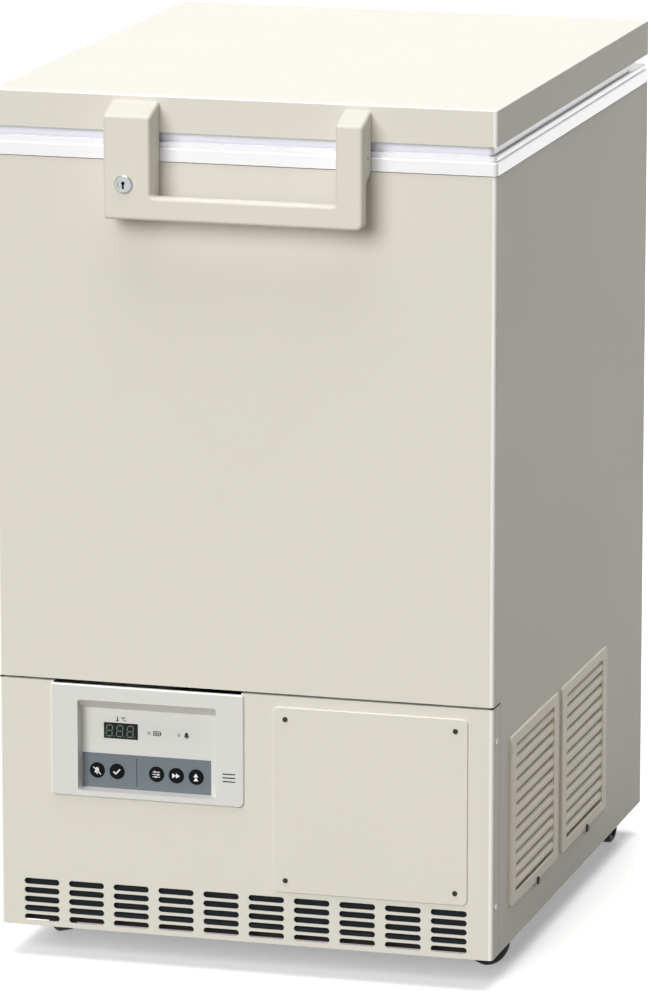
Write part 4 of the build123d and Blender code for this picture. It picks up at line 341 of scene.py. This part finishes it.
# Handle: the darker edge colour is a painted shade on its sloped tops and rounded edges.
HANDLE_PLASTIC = Finish(
    "handle_plastic", "DAD7CB", "D5D2C6", 0.38, 0.48, scale=1400.0, specular=0.35, edge="D2CFC4"
)
# Bezel: the paler edge colour is a painted highlight on its rounded edges.
BEZEL_PLASTIC = Finish(
    "bezel_plastic", "D8D8D5", "D3D3D0", 0.40, 0.50, scale=1600.0, specular=0.35, edge="E6E6E2"
)
KEY_PLASTIC = Finish("key_plastic", "06080A", "0A0D10", 0.40, 0.52, specular=0.06)
BAND_FILM = Finish("band_film", "71797F", "6B7379", 0.40, 0.52, specular=0.2)
DISPLAY_WINDOW = Finish("display_window_plastic", "121A17", "161E1B", 0.10, 0.16, specular=0.10)
SEGMENT_FILM = Finish("segment_film", "6E7A73", "69756E", 0.20, 0.30, specular=0.2)
LENS_PLASTIC = Finish("lens_plastic", "B9B4A4", "A9A495", 0.10, 0.20, coat=0.6)
GRILLE_PLASTIC = Finish(
    "grille_plastic", "F9F4E4", "F3EEDE", 0.40, 0.52, scale=1200.0, specular=0.3
)
FOAM_FILL = Finish("foam_fill", "EBD9A8", "D9C48E", 0.80, 0.95, Texture.FOAMED, 400.0, 0.4, 0.0005)
LINER_STEEL = Finish(
    "liner_steel", "D2D4D5", "C2C5C7", 0.28, 0.42, Texture.BRUSHED, 1500.0, metallic=1.0
)
LID_PLASTIC = Finish("lid_plastic", "EEEEEA", "E8E8E4", 0.36, 0.48)
ZINC_STEEL = Finish(
    "zinc_steel", "B4B6B8", "9EA1A4", 0.34, 0.50, Texture.PEBBLED, 90.0, metallic=1.0
)
# Painted shade: the base pan is near black so that the lowest vent slots show dark, as the shade
# behind them would.
PAN_SHADE_PAINT = Finish(
    "pan_shade_paint", "2C2B28", "242321", 0.45, 0.60, Texture.PEBBLED, 300.0, specular=0.15
)
LOCK_METAL = Finish("lock_metal", "A2A3A4", "959798", 0.20, 0.32, metallic=1.0)
BLACK_PAINT = Finish(
    "black_paint", "141415", "1B1B1C", 0.26, 0.38, Texture.PEBBLED, 300.0, specular=0.35
)
WHEEL_RUBBER = Finish("wheel_rubber", "171718", "1E1E1F", 0.45, 0.60, specular=0.3)
SOFT_RUBBER = Finish("soft_rubber", "252525", "2D2D2D", 0.60, 0.80)
COPPER_TUBE = Finish("copper_tube", "C98A63", "B97A55", 0.24, 0.40, metallic=1.0)
FIN_ALUMINIUM = Finish(
    "fin_aluminium", "C4C7CA", "B2B5B9", 0.34, 0.48, Texture.BRUSHED, 700.0, metallic=1.0
)
FILTER_MESH = Finish(
    "filter_mesh", "20242A", "0E1115", 0.75, 0.92, Texture.WOVEN, 900.0,
    relief=0.4, depth=0.0003, specular=0.2,
)
BLACK_PLASTIC = Finish("black_plastic", "1B1B1C", "222223", 0.40, 0.55)
BOX_PAINT = Finish("box_paint", "A4A6A7", "9A9C9D", 0.40, 0.52, Texture.PEBBLED, 420.0)
BOARD_LACQUER = Finish("board_lacquer", "1F5A36", "1A4E2F", 0.25, 0.40)
GREY_PLASTIC = Finish("grey_plastic", "9A9B9C", "929394", 0.42, 0.56)
SCREW_STEEL = Finish("screw_steel", "C2C0B7", "B0AEA5", 0.24, 0.38, metallic=0.7)
DARK_SCREW = Finish("dark_screw", "2A2927", "33322F", 0.28, 0.42, metallic=0.8)
WHITE_PRINT = Finish("white_print", "F2F2F0", "ECECEA", 0.45, 0.60)
DARK_PRINT = Finish("dark_print", "262828", "303232", 0.45, 0.60, specular=0.2)
DEEP_SHADE = Finish("deep_shade", "070708", "0A0A0B", 0.70, 0.90, specular=0.05)


def disc(x: float, z: float, radius: float, corners: int = 24) -> Outline:
    """Draws a round spot.

    Args:
        x: place across.
        z: place up.
        radius: size of the spot.
        corners: how many points stand round its edge.

    Returns:
        The outline's points.
    """
    turns = [2 * math.pi * i / corners for i in range(corners)]
    return [(x + radius * math.cos(t), z + radius * math.sin(t)) for t in turns]


def bar(start: Point, end: Point, width: float) -> Outline:
    """Draws a straight stroke with square ends.

    Args:
        start: middle of one end.
        end: middle of the other end.
        width: thickness of the stroke.

    Returns:
        The outline's points.
    """
    along = Vector((end[0] - start[0], end[1] - start[1])).normalized() * width / 2
    across = Vector((-along.y, along.x))
    return [
        (start[0] + across.x, start[1] + across.y),
        (start[0] - across.x, start[1] - across.y),
        (end[0] - across.x, end[1] - across.y),
        (end[0] + across.x, end[1] + across.y),
    ]


def arc_band(x: float, z: float, radius: float, width: float, first: float, last: float) -> Outline:
    """Draws a curved stroke.

    Args:
        x: the arc's centre across.
        z: the arc's centre up.
        radius: middle line of the stroke.
        width: thickness of the stroke.
        first: degrees where it starts, from the right, leftwards round.
        last: degrees where it ends.

    Returns:
        The outline's points.
    """
    steps = 20
    turns = [math.radians(first + (last - first) * i / steps) for i in range(steps + 1)]
    outer, inner = radius + width / 2, radius - width / 2
    there = [(x + outer * math.cos(t), z + outer * math.sin(t)) for t in turns]
    back = [(x + inner * math.cos(t), z + inner * math.sin(t)) for t in reversed(turns)]
    return there + back


def moved(outlines: list[Outline], x: float, z: float, scale: float = 1.0) -> list[Outline]:
    """Sets outlines drawn round the origin at a place.

    Args:
        outlines: what was drawn.
        x: place across.
        z: place up.
        scale: how much larger it becomes.

    Returns:
        The outlines at their place.
    """
    return [[(x + scale * px, z + scale * pz) for px, pz in outline] for outline in outlines]


class Pictogram(Enum):
    """Plain signs for the panel's keys and lamps."""

    MUTE = "mute"
    TEST = "test"
    ADJUST = "adjust"
    FORWARD = "forward"
    UPWARD = "upward"
    BATTERY = "battery"
    BELL = "bell"
    THERMOMETER = "thermometer"
    DEGREES = "degrees"

    def outlines(self) -> list[Outline]:
        """Draws the sign round the origin, about two units across.

        Returns:
            The outlines of its parts.
        """
        bell = [
            [
                (-0.75, -0.5), (0.75, -0.5), (0.5, -0.2), (0.45, 0.4),
                (0.2, 0.75), (-0.2, 0.75), (-0.45, 0.4), (-0.5, -0.2),
            ],
            disc(0, -0.72, 0.18, 12),
        ]
        if self is Pictogram.MUTE:
            return bell + [bar((-0.95, 0.85), (0.95, -0.95), 0.2)]
        if self is Pictogram.BELL:
            return bell
        if self is Pictogram.TEST:
            return [bar((-0.8, 0.0), (-0.2, -0.62), 0.3), bar((-0.3, -0.62), (0.85, 0.62), 0.3)]
        if self is Pictogram.ADJUST:
            rows = ((0.6, -0.35), (0.0, 0.4), (-0.6, -0.1))
            strokes = [bar((-0.9, z), (0.9, z), 0.16) for z, _ in rows]
            return strokes + [disc(x, z, 0.26, 16) for z, x in rows]
        if self is Pictogram.FORWARD:
            return [[(x, 0.62), (x, -0.62), (x + 0.95, 0.0)] for x in (-0.95, 0.0)]
        if self is Pictogram.UPWARD:
            return [[(-0.6, z), (0.6, z), (0.0, z + 0.95)] for z in (-0.95, 0.0)]
        if self is Pictogram.BATTERY:
            frame_strokes = [
                bar((-1.0, 0.5), (0.85, 0.5), 0.18),
                bar((-1.0, -0.5), (0.85, -0.5), 0.18),
                bar((-0.95, -0.55), (-0.95, 0.55), 0.18),
                bar((0.8, -0.55), (0.8, 0.55), 0.18),
                bar((0.98, -0.22), (0.98, 0.22), 0.2),
            ]
            return frame_strokes + [bar((x, -0.28), (x, 0.28), 0.3) for x in (-0.55, -0.08, 0.39)]
        if self is Pictogram.THERMOMETER:
            return [disc(0, -0.6, 0.4, 16), bar((0.0, -0.6), (0.0, 0.95), 0.34)]
        return [arc_band(-0.75, 0.5, 0.26, 0.18, 0, 360), arc_band(0.25, 0.0, 0.62, 0.24, 45, 315)]


def thin_piece(
    name: str,
    outlines: list[Outline],
    face: float,
    thickness: float,
    finish: Finish,
    body: str,
) -> bpy.types.Object:
    """Makes a thin flat piece that lies on an upright face and looks to the front.

    Args:
        name: the piece's name.
        outlines: its parts, as places across and up, in metres.
        face: depth of the face that carries it, in metres.
        thickness: how far it stands out to the front, in metres.
        finish: what it is made of.
        body: the body that it moves with.

    Returns:
        The new piece.
    """
    mesh = bpy.data.meshes.new(name)
    shape = bmesh.new()
    for outline in outlines:
        front = [shape.verts.new((x, face - thickness, z)) for x, z in outline]
        rear = [shape.verts.new((x, face, z)) for x, z in outline]
        shape.faces.new(front)
        shape.faces.new(reversed(rear))
        for i, corner in enumerate(front):
            after = (i + 1) % len(front)
            shape.faces.new((rear[i], rear[after], front[after], corner))
    bmesh.ops.recalc_face_normals(shape, faces=shape.faces)
    shape.to_mesh(mesh)
    shape.free()
    piece = bpy.data.objects.new(name, mesh)
    bpy.context.scene.collection.objects.link(piece)
    piece.data.materials.append(finish.material())
    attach(piece, body)
    return piece


@dataclass
class SubAssembly:
    """Pieces of the freezer that belong together, with their finishes."""

    title: str = "pieces"
    coats: dict[str, Finish] = field(default_factory=dict)

    def dress(self) -> None:
        """Gives each piece its finish."""
        for node, finish in self.coats.items():
            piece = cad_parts[node]
            piece.data.materials.clear()
            piece.data.materials.append(finish.material())
            LOG.info("%s: %s in %s", self.title, node, finish.name)

    def build(self) -> list[bpy.types.Object]:
        """Makes what the frame lacks; most groups need nothing."""
        return []


@dataclass
class Cabinet(SubAssembly):
    """The painted shell with its collar, its foam and the fittings fixed to it."""

    title: str = "cabinet"
    coats: dict[str, Finish] = field(
        default_factory=lambda: {
            "cabinet_wrap": SHELL_PAINT,
            "front_cover": SHELL_PAINT,
            "blank_plate": PLATE_PAINT,
            "back_panel": SHELL_PAINT,
            "rear_cover": SHELL_PAINT,
            "panel_screws": SCREW_STEEL,
            "dark_screws": DARK_SCREW,
            "top_collar": COLLAR_PLASTIC,
            "compartment_ceiling": ZINC_STEEL,
            "insulation_foam": FOAM_FILL,
            "rear_spacers": GREY_PLASTIC,
            "lock_keeper": ZINC_STEEL,
            "hinge_brackets": ZINC_STEEL,
        }
    )


@dataclass
class Chamber(SubAssembly):
    """The cold chamber's liner, its coil, its sensor and the port through the back."""

    title: str = "chamber"
    coats: dict[str, Finish] = field(
        default_factory=lambda: {
            "chamber_liner": LINER_STEEL,
            "temperature_sensor": LINER_STEEL,
            "evaporator_coil": COPPER_TUBE,
            "port_sleeve": GREY_PLASTIC,
            "port_stopper": SOFT_RUBBER,
        }
    )


@dataclass
class Lid(SubAssembly):
    """The lid's shell, plug, foam, gasket and hinge arms."""

    title: str = "lid"
    coats: dict[str, Finish] = field(
        default_factory=lambda: {
            "lid_pan": SHELL_PAINT,
            "lid_liner": LID_PLASTIC,
            "lid_foam": FOAM_FILL,
            "lid_gasket": GASKET_RUBBER,
            "hinge_arms": ZINC_STEEL,
        }
    )


@dataclass
class Handle(SubAssembly):
    """The moulded handle at the lid's front edge and the lock in its left leg."""

    title: str = "handle"
    coats: dict[str, Finish] = field(
        default_factory=lambda: {
            "lid_handle": HANDLE_PLASTIC,
            "lock_body": LOCK_METAL,
            "lock_cylinder": LOCK_METAL,
        }
    )
    keyhole_radius: float = 1.9 * MILLIMETRE
    keyhole_rise: float = 1.0 * MILLIMETRE
    keyway_width: float = 2.0 * MILLIMETRE
    keyway_drop: float = 4.9 * MILLIMETRE
    keyhole_sink: float = 0.3 * MILLIMETRE
    keyhole_depth: float = 0.1 * MILLIMETRE
    lock_slot: str = "black_plastic"

    def build(self) -> list[bpy.types.Object]:
        """Makes a dark sheet of painted shade that stands just inside the keyhole.

        Returns:
            The painted shade, which turns with the lock.
        """
        low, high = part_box("lock_body")
        x, z = (low.x + high.x) / 2, (low.z + high.z) / 2
        outlines = [
            disc(x, z + self.keyhole_rise, self.keyhole_radius),
            bar((x, z), (x, z - self.keyway_drop), self.keyway_width),
        ]
        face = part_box("lock_cylinder")[0].y + self.keyhole_sink
        # Painted shade: a near-black sheet in the keyhole stands for the shade inside the lock.
        keyhole_shade = thin_piece(
            "keyhole_painted_shade", outlines, face, self.keyhole_depth, DEEP_SHADE, "lock"
        )
        return [keyhole_shade]


@dataclass
class SideGrilles(SubAssembly):
    """The two louvred grilles in the right side."""

    title: str = "side grilles"
    coats: dict[str, Finish] = field(
        default_factory=lambda: {
            "side_grille_front": GRILLE_PLASTIC,
            "side_grille_rear": GRILLE_PLASTIC,
        }
    )


@dataclass
class Casters(SubAssembly):
    """The swivel casters at the front and the fixed ones at the back."""

    title: str = "casters"
    coats: dict[str, Finish] = field(
        default_factory=lambda: {
            "front_fork_left": BLACK_PAINT,
            "front_fork_right": BLACK_PAINT,
            "front_wheel_left": WHEEL_RUBBER,
            "front_wheel_right": WHEEL_RUBBER,
            "front_caster_plates": ZINC_STEEL,
            "rear_forks": ZINC_STEEL,
            "rear_wheel_left": WHEEL_RUBBER,
            "rear_wheel_right": WHEEL_RUBBER,
        }
    )


@dataclass
class MachineSpace(SubAssembly):
    """The cooling machine under the chamber and the electrical parts beside it."""

    title: str = "machine space"
    coats: dict[str, Finish] = field(
        default_factory=lambda: {
            # The base pan's near-black paint is a painted shade seen through the lowest vent slots.
            "base_pan": PAN_SHADE_PAINT,
            "condenser_filter": FILTER_MESH,
            "condenser": FIN_ALUMINIUM,
            "fan_shroud": FIN_ALUMINIUM,
            "fan_motor": ZINC_STEEL,
            "fan_rotor": BLACK_PLASTIC,
            "compressor": BLACK_PAINT,
            "compressor_mounts": SOFT_RUBBER,
            "refrigerant_pipes": COPPER_TUBE,
            "filter_drier": COPPER_TUBE,
            "electrical_box": BOX_PAINT,
            "backup_battery": BLACK_PLASTIC,
            "power_entry": BLACK_PLASTIC,
            "switch_rocker": BLACK_PLASTIC,
        }
    )


@dataclass
class ControlPanel(SubAssembly):
    """The bezel with its display, lamps and keys, and the marks printed on them."""

    title: str = "control panel"
    coats: dict[str, Finish] = field(
        default_factory=lambda: {
            "control_bezel": BEZEL_PLASTIC,
            "keypad_sheet": BAND_FILM,
            "display_window": DISPLAY_WINDOW,
            "indicator_lenses": LENS_PLASTIC,
            "control_board": BOARD_LACQUER,
            "mute_key": KEY_PLASTIC,
            "test_key": KEY_PLASTIC,
            "set_key": KEY_PLASTIC,
            "shift_key": KEY_PLASTIC,
            "raise_key": KEY_PLASTIC,
        }
    )
    print_depth: float = 0.06 * MILLIMETRE
    sign_size: float = 4.5 * MILLIMETRE
    lamp_sign: float = 4.4 * MILLIMETRE
    lamp_sign_gap: float = 9.0 * MILLIMETRE
    unit_sign: float = 2.9 * MILLIMETRE
    unit_gap: float = 4.8 * MILLIMETRE
    unit_spread: float = 3.8 * MILLIMETRE
    digits: int = 3
    digit_pitch: float = 11.6 * MILLIMETRE
    digit_width: float = 6.6 * MILLIMETRE
    digit_height: float = 12.0 * MILLIMETRE
    stroke: float = 1.1 * MILLIMETRE
    stroke_gap: float = 0.66 * MILLIMETRE
    point_radius: float = 0.66 * MILLIMETRE
    point_reach: float = 2.09 * MILLIMETRE
    lean: float = 0.08
    divider_width: float = 0.7 * MILLIMETRE
    divider_height: float = 31.0 * MILLIMETRE
    lamp_reach: float = 2.0 * MILLIMETRE
    slits: int = 3
    slit_length: float = 13.8 * MILLIMETRE
    slit_height: float = 1.2 * MILLIMETRE
    slit_pitch: float = 4.1 * MILLIMETRE
    slit_inset: float = 16.0 * MILLIMETRE
    slit_rise: float = 32.0 * MILLIMETRE
    slit_sink: float = 0.2 * MILLIMETRE
    # Slot of the painted shade in the buzzer's slits.
    slit_shade_slot: str = "black_plastic"
    print_slot: str = "band_film"
    display_slot: str = "display_glass"
    key_signs: dict[str, Pictogram] = field(
        default_factory=lambda: {
            "mute_key": Pictogram.MUTE,
            "test_key": Pictogram.TEST,
            "set_key": Pictogram.ADJUST,
            "shift_key": Pictogram.FORWARD,
            "raise_key": Pictogram.UPWARD,
        }
    )

    def build(self) -> list[bpy.types.Object]:
        """Makes the marks, the display's segments and the painted shade in the buzzer's slits.

        Returns:
            The new pieces.
        """
        pieces = [self._key_sign(node, sign) for node, sign in self.key_signs.items()]
        marks = [self._segments(), self._divider(), self._lamp_signs(), self._unit()]
        return pieces + marks + [self._buzzer_slit_shade()]

    def _buzzer_slit_shade(self) -> bpy.types.Object:
        """Makes the dark strips of painted shade that fill the buzzer's slits behind the bezel's
        face.

        Returns:
            The strips of painted shade, as one piece.
        """
        low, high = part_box("control_bezel")
        x, middle = high.x - self.slit_inset, low.z + self.slit_rise
        reach = self.slit_length / 2
        outlines: list[Outline] = []
        for i in range(self.slits):
            z = middle + (i - (self.slits - 1) / 2) * self.slit_pitch
            outlines.append(bar((x - reach, z), (x + reach, z), self.slit_height))
        face = low.y + self.slit_sink
        # Painted shade: near-black strips fill the slits, where the shade inside them falls.
        return thin_piece(
            "buzzer_slit_shade", outlines, face, self.print_depth, DEEP_SHADE, "cabinet"
        )

    def _key_sign(self, node: str, sign: Pictogram) -> bpy.types.Object:
        """Prints a sign on a key.

        Args:
            node: the key.
            sign: what stands on it.

        Returns:
            The printed piece, which moves with its key.
        """
        low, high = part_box(node)
        middle = (low + high) / 2
        outlines = moved(sign.outlines(), middle.x, middle.z, self.sign_size)
        body = node.replace("_key", "_button")
        return thin_piece(
            f"{node}_sign", outlines, low.y, self.print_depth, WHITE_PRINT, body
        )

    def _digit(self, x: float, z: float) -> list[Outline]:
        """Draws the seven strokes and the point of one digit.

        Args:
            x: the digit's middle across.
            z: its middle up.

        Returns:
            The outlines of the strokes.
        """
        right, top, gap = self.digit_width / 2, self.digit_height / 2, self.stroke_gap
        level = [((-right + gap, height), (right - gap, height)) for height in (-top, 0.0, top)]
        upright = [
            ((side, base + gap), (side, base + top - gap))
            for side in (-right, right)
            for base in (-top, 0.0)
        ]
        strokes = [bar(start, end, self.stroke) for start, end in level + upright]
        drawn = strokes + [disc(right + self.point_reach, -top, self.point_radius, 12)]
        return [[(x + px + self.lean * pz, z + pz) for px, pz in outline] for outline in drawn]

    def _segments(self) -> bpy.types.Object:
        """Makes the unlit segments on the display.

        Returns:
            The segments of all digits, as one piece.
        """
        low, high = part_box("display_window")
        middle = (low + high) / 2
        outlines: list[Outline] = []
        for i in range(self.digits):
            offset = (i - (self.digits - 1) / 2) * self.digit_pitch
            outlines += self._digit(middle.x + offset - self.stroke, middle.z)
        return thin_piece(
            "display_segments", outlines, low.y, self.print_depth, SEGMENT_FILM, "cabinet",
        )

    def _divider(self) -> bpy.types.Object:
        """Prints the line between the two groups of keys.

        Returns:
            The printed line.
        """
        left_key, right_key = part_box("test_key"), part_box("set_key")
        x = (left_key[0].x + left_key[1].x + right_key[0].x + right_key[1].x) / 4
        low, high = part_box("keypad_sheet")
        z, reach = (low.z + high.z) / 2, self.divider_height / 2
        outline = bar((x, z - reach), (x, z + reach), self.divider_width)
        return self._panel_print("key_divider", [outline], low.y)

    def _panel_print(self, name: str, outlines: list[Outline], face: float) -> bpy.types.Object:
        """Prints dark marks on the panel.

        Args:
            name: the piece's name.
            outlines: its parts.
            face: depth of the face that carries it.

        Returns:
            The printed piece.
        """
        return thin_piece(
            name, outlines, face, self.print_depth, DARK_PRINT, "cabinet"
        )

    def _floor(self) -> float:
        """The depth of the recess's floor, which the key sheet lies on."""
        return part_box("keypad_sheet")[1].y

    def _lamp_signs(self) -> bpy.types.Object:
        """Prints a battery and a bell beside the two lamps.

        Returns:
            Both signs, as one piece.
        """
        low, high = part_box("indicator_lenses")
        z = (low.z + high.z) / 2
        lamps = (
            (low.x + self.lamp_reach, Pictogram.BATTERY),
            (high.x - self.lamp_reach, Pictogram.BELL),
        )
        outlines: list[Outline] = []
        for lamp, sign in lamps:
            outlines += moved(sign.outlines(), lamp + self.lamp_sign_gap, z, self.lamp_sign)
        return self._panel_print("lamp_signs", outlines, self._floor())

    def _unit(self) -> bpy.types.Object:
        """Prints a thermometer and the unit of temperature over the display.

        Returns:
            Both signs, as one piece.
        """
        low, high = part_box("display_window")
        x, z = (low.x + high.x) / 2, high.z + self.unit_gap
        outlines = moved(Pictogram.THERMOMETER.outlines(), x - self.unit_spread, z, self.unit_sign)
        outlines += moved(Pictogram.DEGREES.outlines(), x + self.unit_spread, z, self.unit_sign)
        return self._panel_print("unit_sign", outlines, self._floor())


@dataclass(frozen=True)
class Lamp:
    """A broad, far lamp: where it stands, its strength, its spread in degrees and if it glints."""

    name: str
    stands: tuple[float, float, float]
    strength: float
    spread: float
    glints: bool = True

    def hang(self) -> None:
        """Makes the lamp."""
        data = bpy.data.lights.new(self.name, "SUN")
        data.energy = self.strength
        data.angle = math.radians(self.spread)
        lamp = bpy.data.objects.new(self.name, data)
        lamp.rotation_euler = Vector(self.stands).to_track_quat("Z", "Y").to_euler()
        lamp.visible_glossy = self.glints
        bpy.context.scene.collection.objects.link(lamp)


FRONT_LAMP = Lamp("studio_front_lamp", (-0.25, -0.88, 0.40), 2.54, 40.0)
TOP_LAMP = Lamp("studio_top_lamp", (0.0, -0.03, 1.0), 2.48, 50.0)
BACK_LAMP = Lamp("studio_back_lamp", (-0.30, 0.93, 0.20), 1.30, 40.0, glints=False)


@dataclass
class Studio:
    """A pale floor, three broad soft lamps, an even sky and the camera."""

    floor_size: float = 200.0
    floor_seen: str = "FFFFFF"
    floor_bounce: str = "7E796F"
    floor_glow: float = 0.34
    floor_roughness: float = 0.9
    white: str = "FFFFFF"
    seen_level: float = 1.0
    sky_level: float = 0.10
    lamps: tuple[Lamp, ...] = (FRONT_LAMP, TOP_LAMP, BACK_LAMP)
    aim: tuple[float, float, float] = (-0.0053, 0.0, 0.4477)
    azimuth: float = 15.88
    elevation: float = 12.29
    distance: float = 7.30
    lens: float = 238.2
    SENSOR: ClassVar[float] = 36.0

    def build(self) -> None:
        """Makes the floor, the light and the camera."""
        bpy.context.scene.view_settings.view_transform = "Standard"
        self._floor()
        self._sky()
        for lamp in self.lamps:
            lamp.hang()
        self._camera()

    @staticmethod
    def _seen_rays(tree: bpy.types.NodeTree) -> bpy.types.NodeSocket:
        """Adds a mask of the rays that show a surface to the eye.

        Args:
            tree: the material or world that gets the mask.

        Returns:
            A socket that is 1 for camera, glossy and transmission rays.
        """
        path = tree.nodes.new("ShaderNodeLightPath")
        total = path.outputs["Is Camera Ray"]
        for kind in ("Is Glossy Ray", "Is Transmission Ray"):
            either = tree.nodes.new("ShaderNodeMath")
            either.operation = "MAXIMUM"
            tree.links.new(total, either.inputs[0])
            tree.links.new(path.outputs[kind], either.inputs[1])
            total = either.outputs[0]
        return total

    def _floor(self) -> None:
        """Lays the floor, white to the eye and greyer for the light that it throws back."""
        mesh = bpy.data.meshes.new("studio_floor")
        half = self.floor_size / 2
        corners = [(-half, -half, 0), (half, -half, 0), (half, half, 0), (-half, half, 0)]
        mesh.from_pydata(corners, [], [(0, 1, 2, 3)])
        floor = bpy.data.objects.new("studio_floor", mesh)
        bpy.context.scene.collection.objects.link(floor)
        paint = bpy.data.materials.new("studio_floor_paint")
        paint.use_nodes = True
        tree = paint.node_tree
        shader = tree.nodes["Principled BSDF"]
        shader.inputs["Roughness"].default_value = self.floor_roughness
        shader.inputs["Specular IOR Level"].default_value = 0.0
        shader.inputs["Emission Color"].default_value = linear(self.white)
        colour = tree.nodes.new("ShaderNodeMix")
        colour.data_type = "RGBA"
        colour.inputs[COLOUR_A].default_value = linear(self.floor_bounce)
        colour.inputs[COLOUR_B].default_value = linear(self.floor_seen)
        seen = self._seen_rays(tree)
        tree.links.new(seen, colour.inputs[0])
        tree.links.new(colour.outputs[COLOUR_OUT], shader.inputs["Base Color"])
        glow = tree.nodes.new("ShaderNodeMath")
        glow.operation = "MULTIPLY"
        glow.inputs[1].default_value = self.floor_glow
        tree.links.new(seen, glow.inputs[0])
        tree.links.new(glow.outputs[0], shader.inputs["Emission Strength"])
        mesh.materials.append(paint)

    def _sky(self) -> None:
        """Sets an even sky: white where it is seen, dimmer where it lights the freezer."""
        world = bpy.data.worlds.new("studio_sky")
        world.use_nodes = True
        bpy.context.scene.world = world
        tree = world.node_tree
        lighting = tree.nodes["Background"]
        lighting.inputs["Color"].default_value = linear(self.white)
        lighting.inputs["Strength"].default_value = self.sky_level
        seen = tree.nodes.new("ShaderNodeBackground")
        seen.inputs["Color"].default_value = linear(self.white)
        seen.inputs["Strength"].default_value = self.seen_level
        either = tree.nodes.new("ShaderNodeMixShader")
        tree.links.new(self._seen_rays(tree), either.inputs[0])
        tree.links.new(lighting.outputs[0], either.inputs[1])
        tree.links.new(seen.outputs[0], either.inputs[2])
        tree.links.new(either.outputs[0], tree.nodes["World Output"].inputs["Surface"])

    def _camera(self) -> None:
        """Sets the camera to the right of the front, a little above, with a long lens."""
        data = bpy.data.cameras.new("studio_camera")
        data.sensor_width = self.SENSOR
        data.lens = self.lens
        camera = bpy.data.objects.new("studio_camera", data)
        turn, rise = math.radians(self.azimuth), math.radians(self.elevation)
        back = Vector(
            (math.sin(turn) * math.cos(rise), -math.cos(turn) * math.cos(rise), math.sin(rise))
        )
        camera.location = Vector(self.aim) + back * self.distance
        camera.rotation_euler = (-back).to_track_quat("-Z", "Y").to_euler()
        bpy.context.scene.collection.objects.link(camera)
        bpy.context.scene.camera = camera


def main() -> None:
    """Dresses each group, builds what the frame lacks and sets up the studio."""
    logging.basicConfig(level=logging.INFO, format="%(message)s")
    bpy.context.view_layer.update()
    groups = (
        Cabinet(), Chamber(), Lid(), Handle(),
        ControlPanel(), SideGrilles(), Casters(), MachineSpace(),
    )
    for group in groups:
        group.dress()
        for piece in group.build():
            LOG.info("%s: made %s", group.title, piece.name)
    Studio().build()


if __name__ == "__main__":
    main()
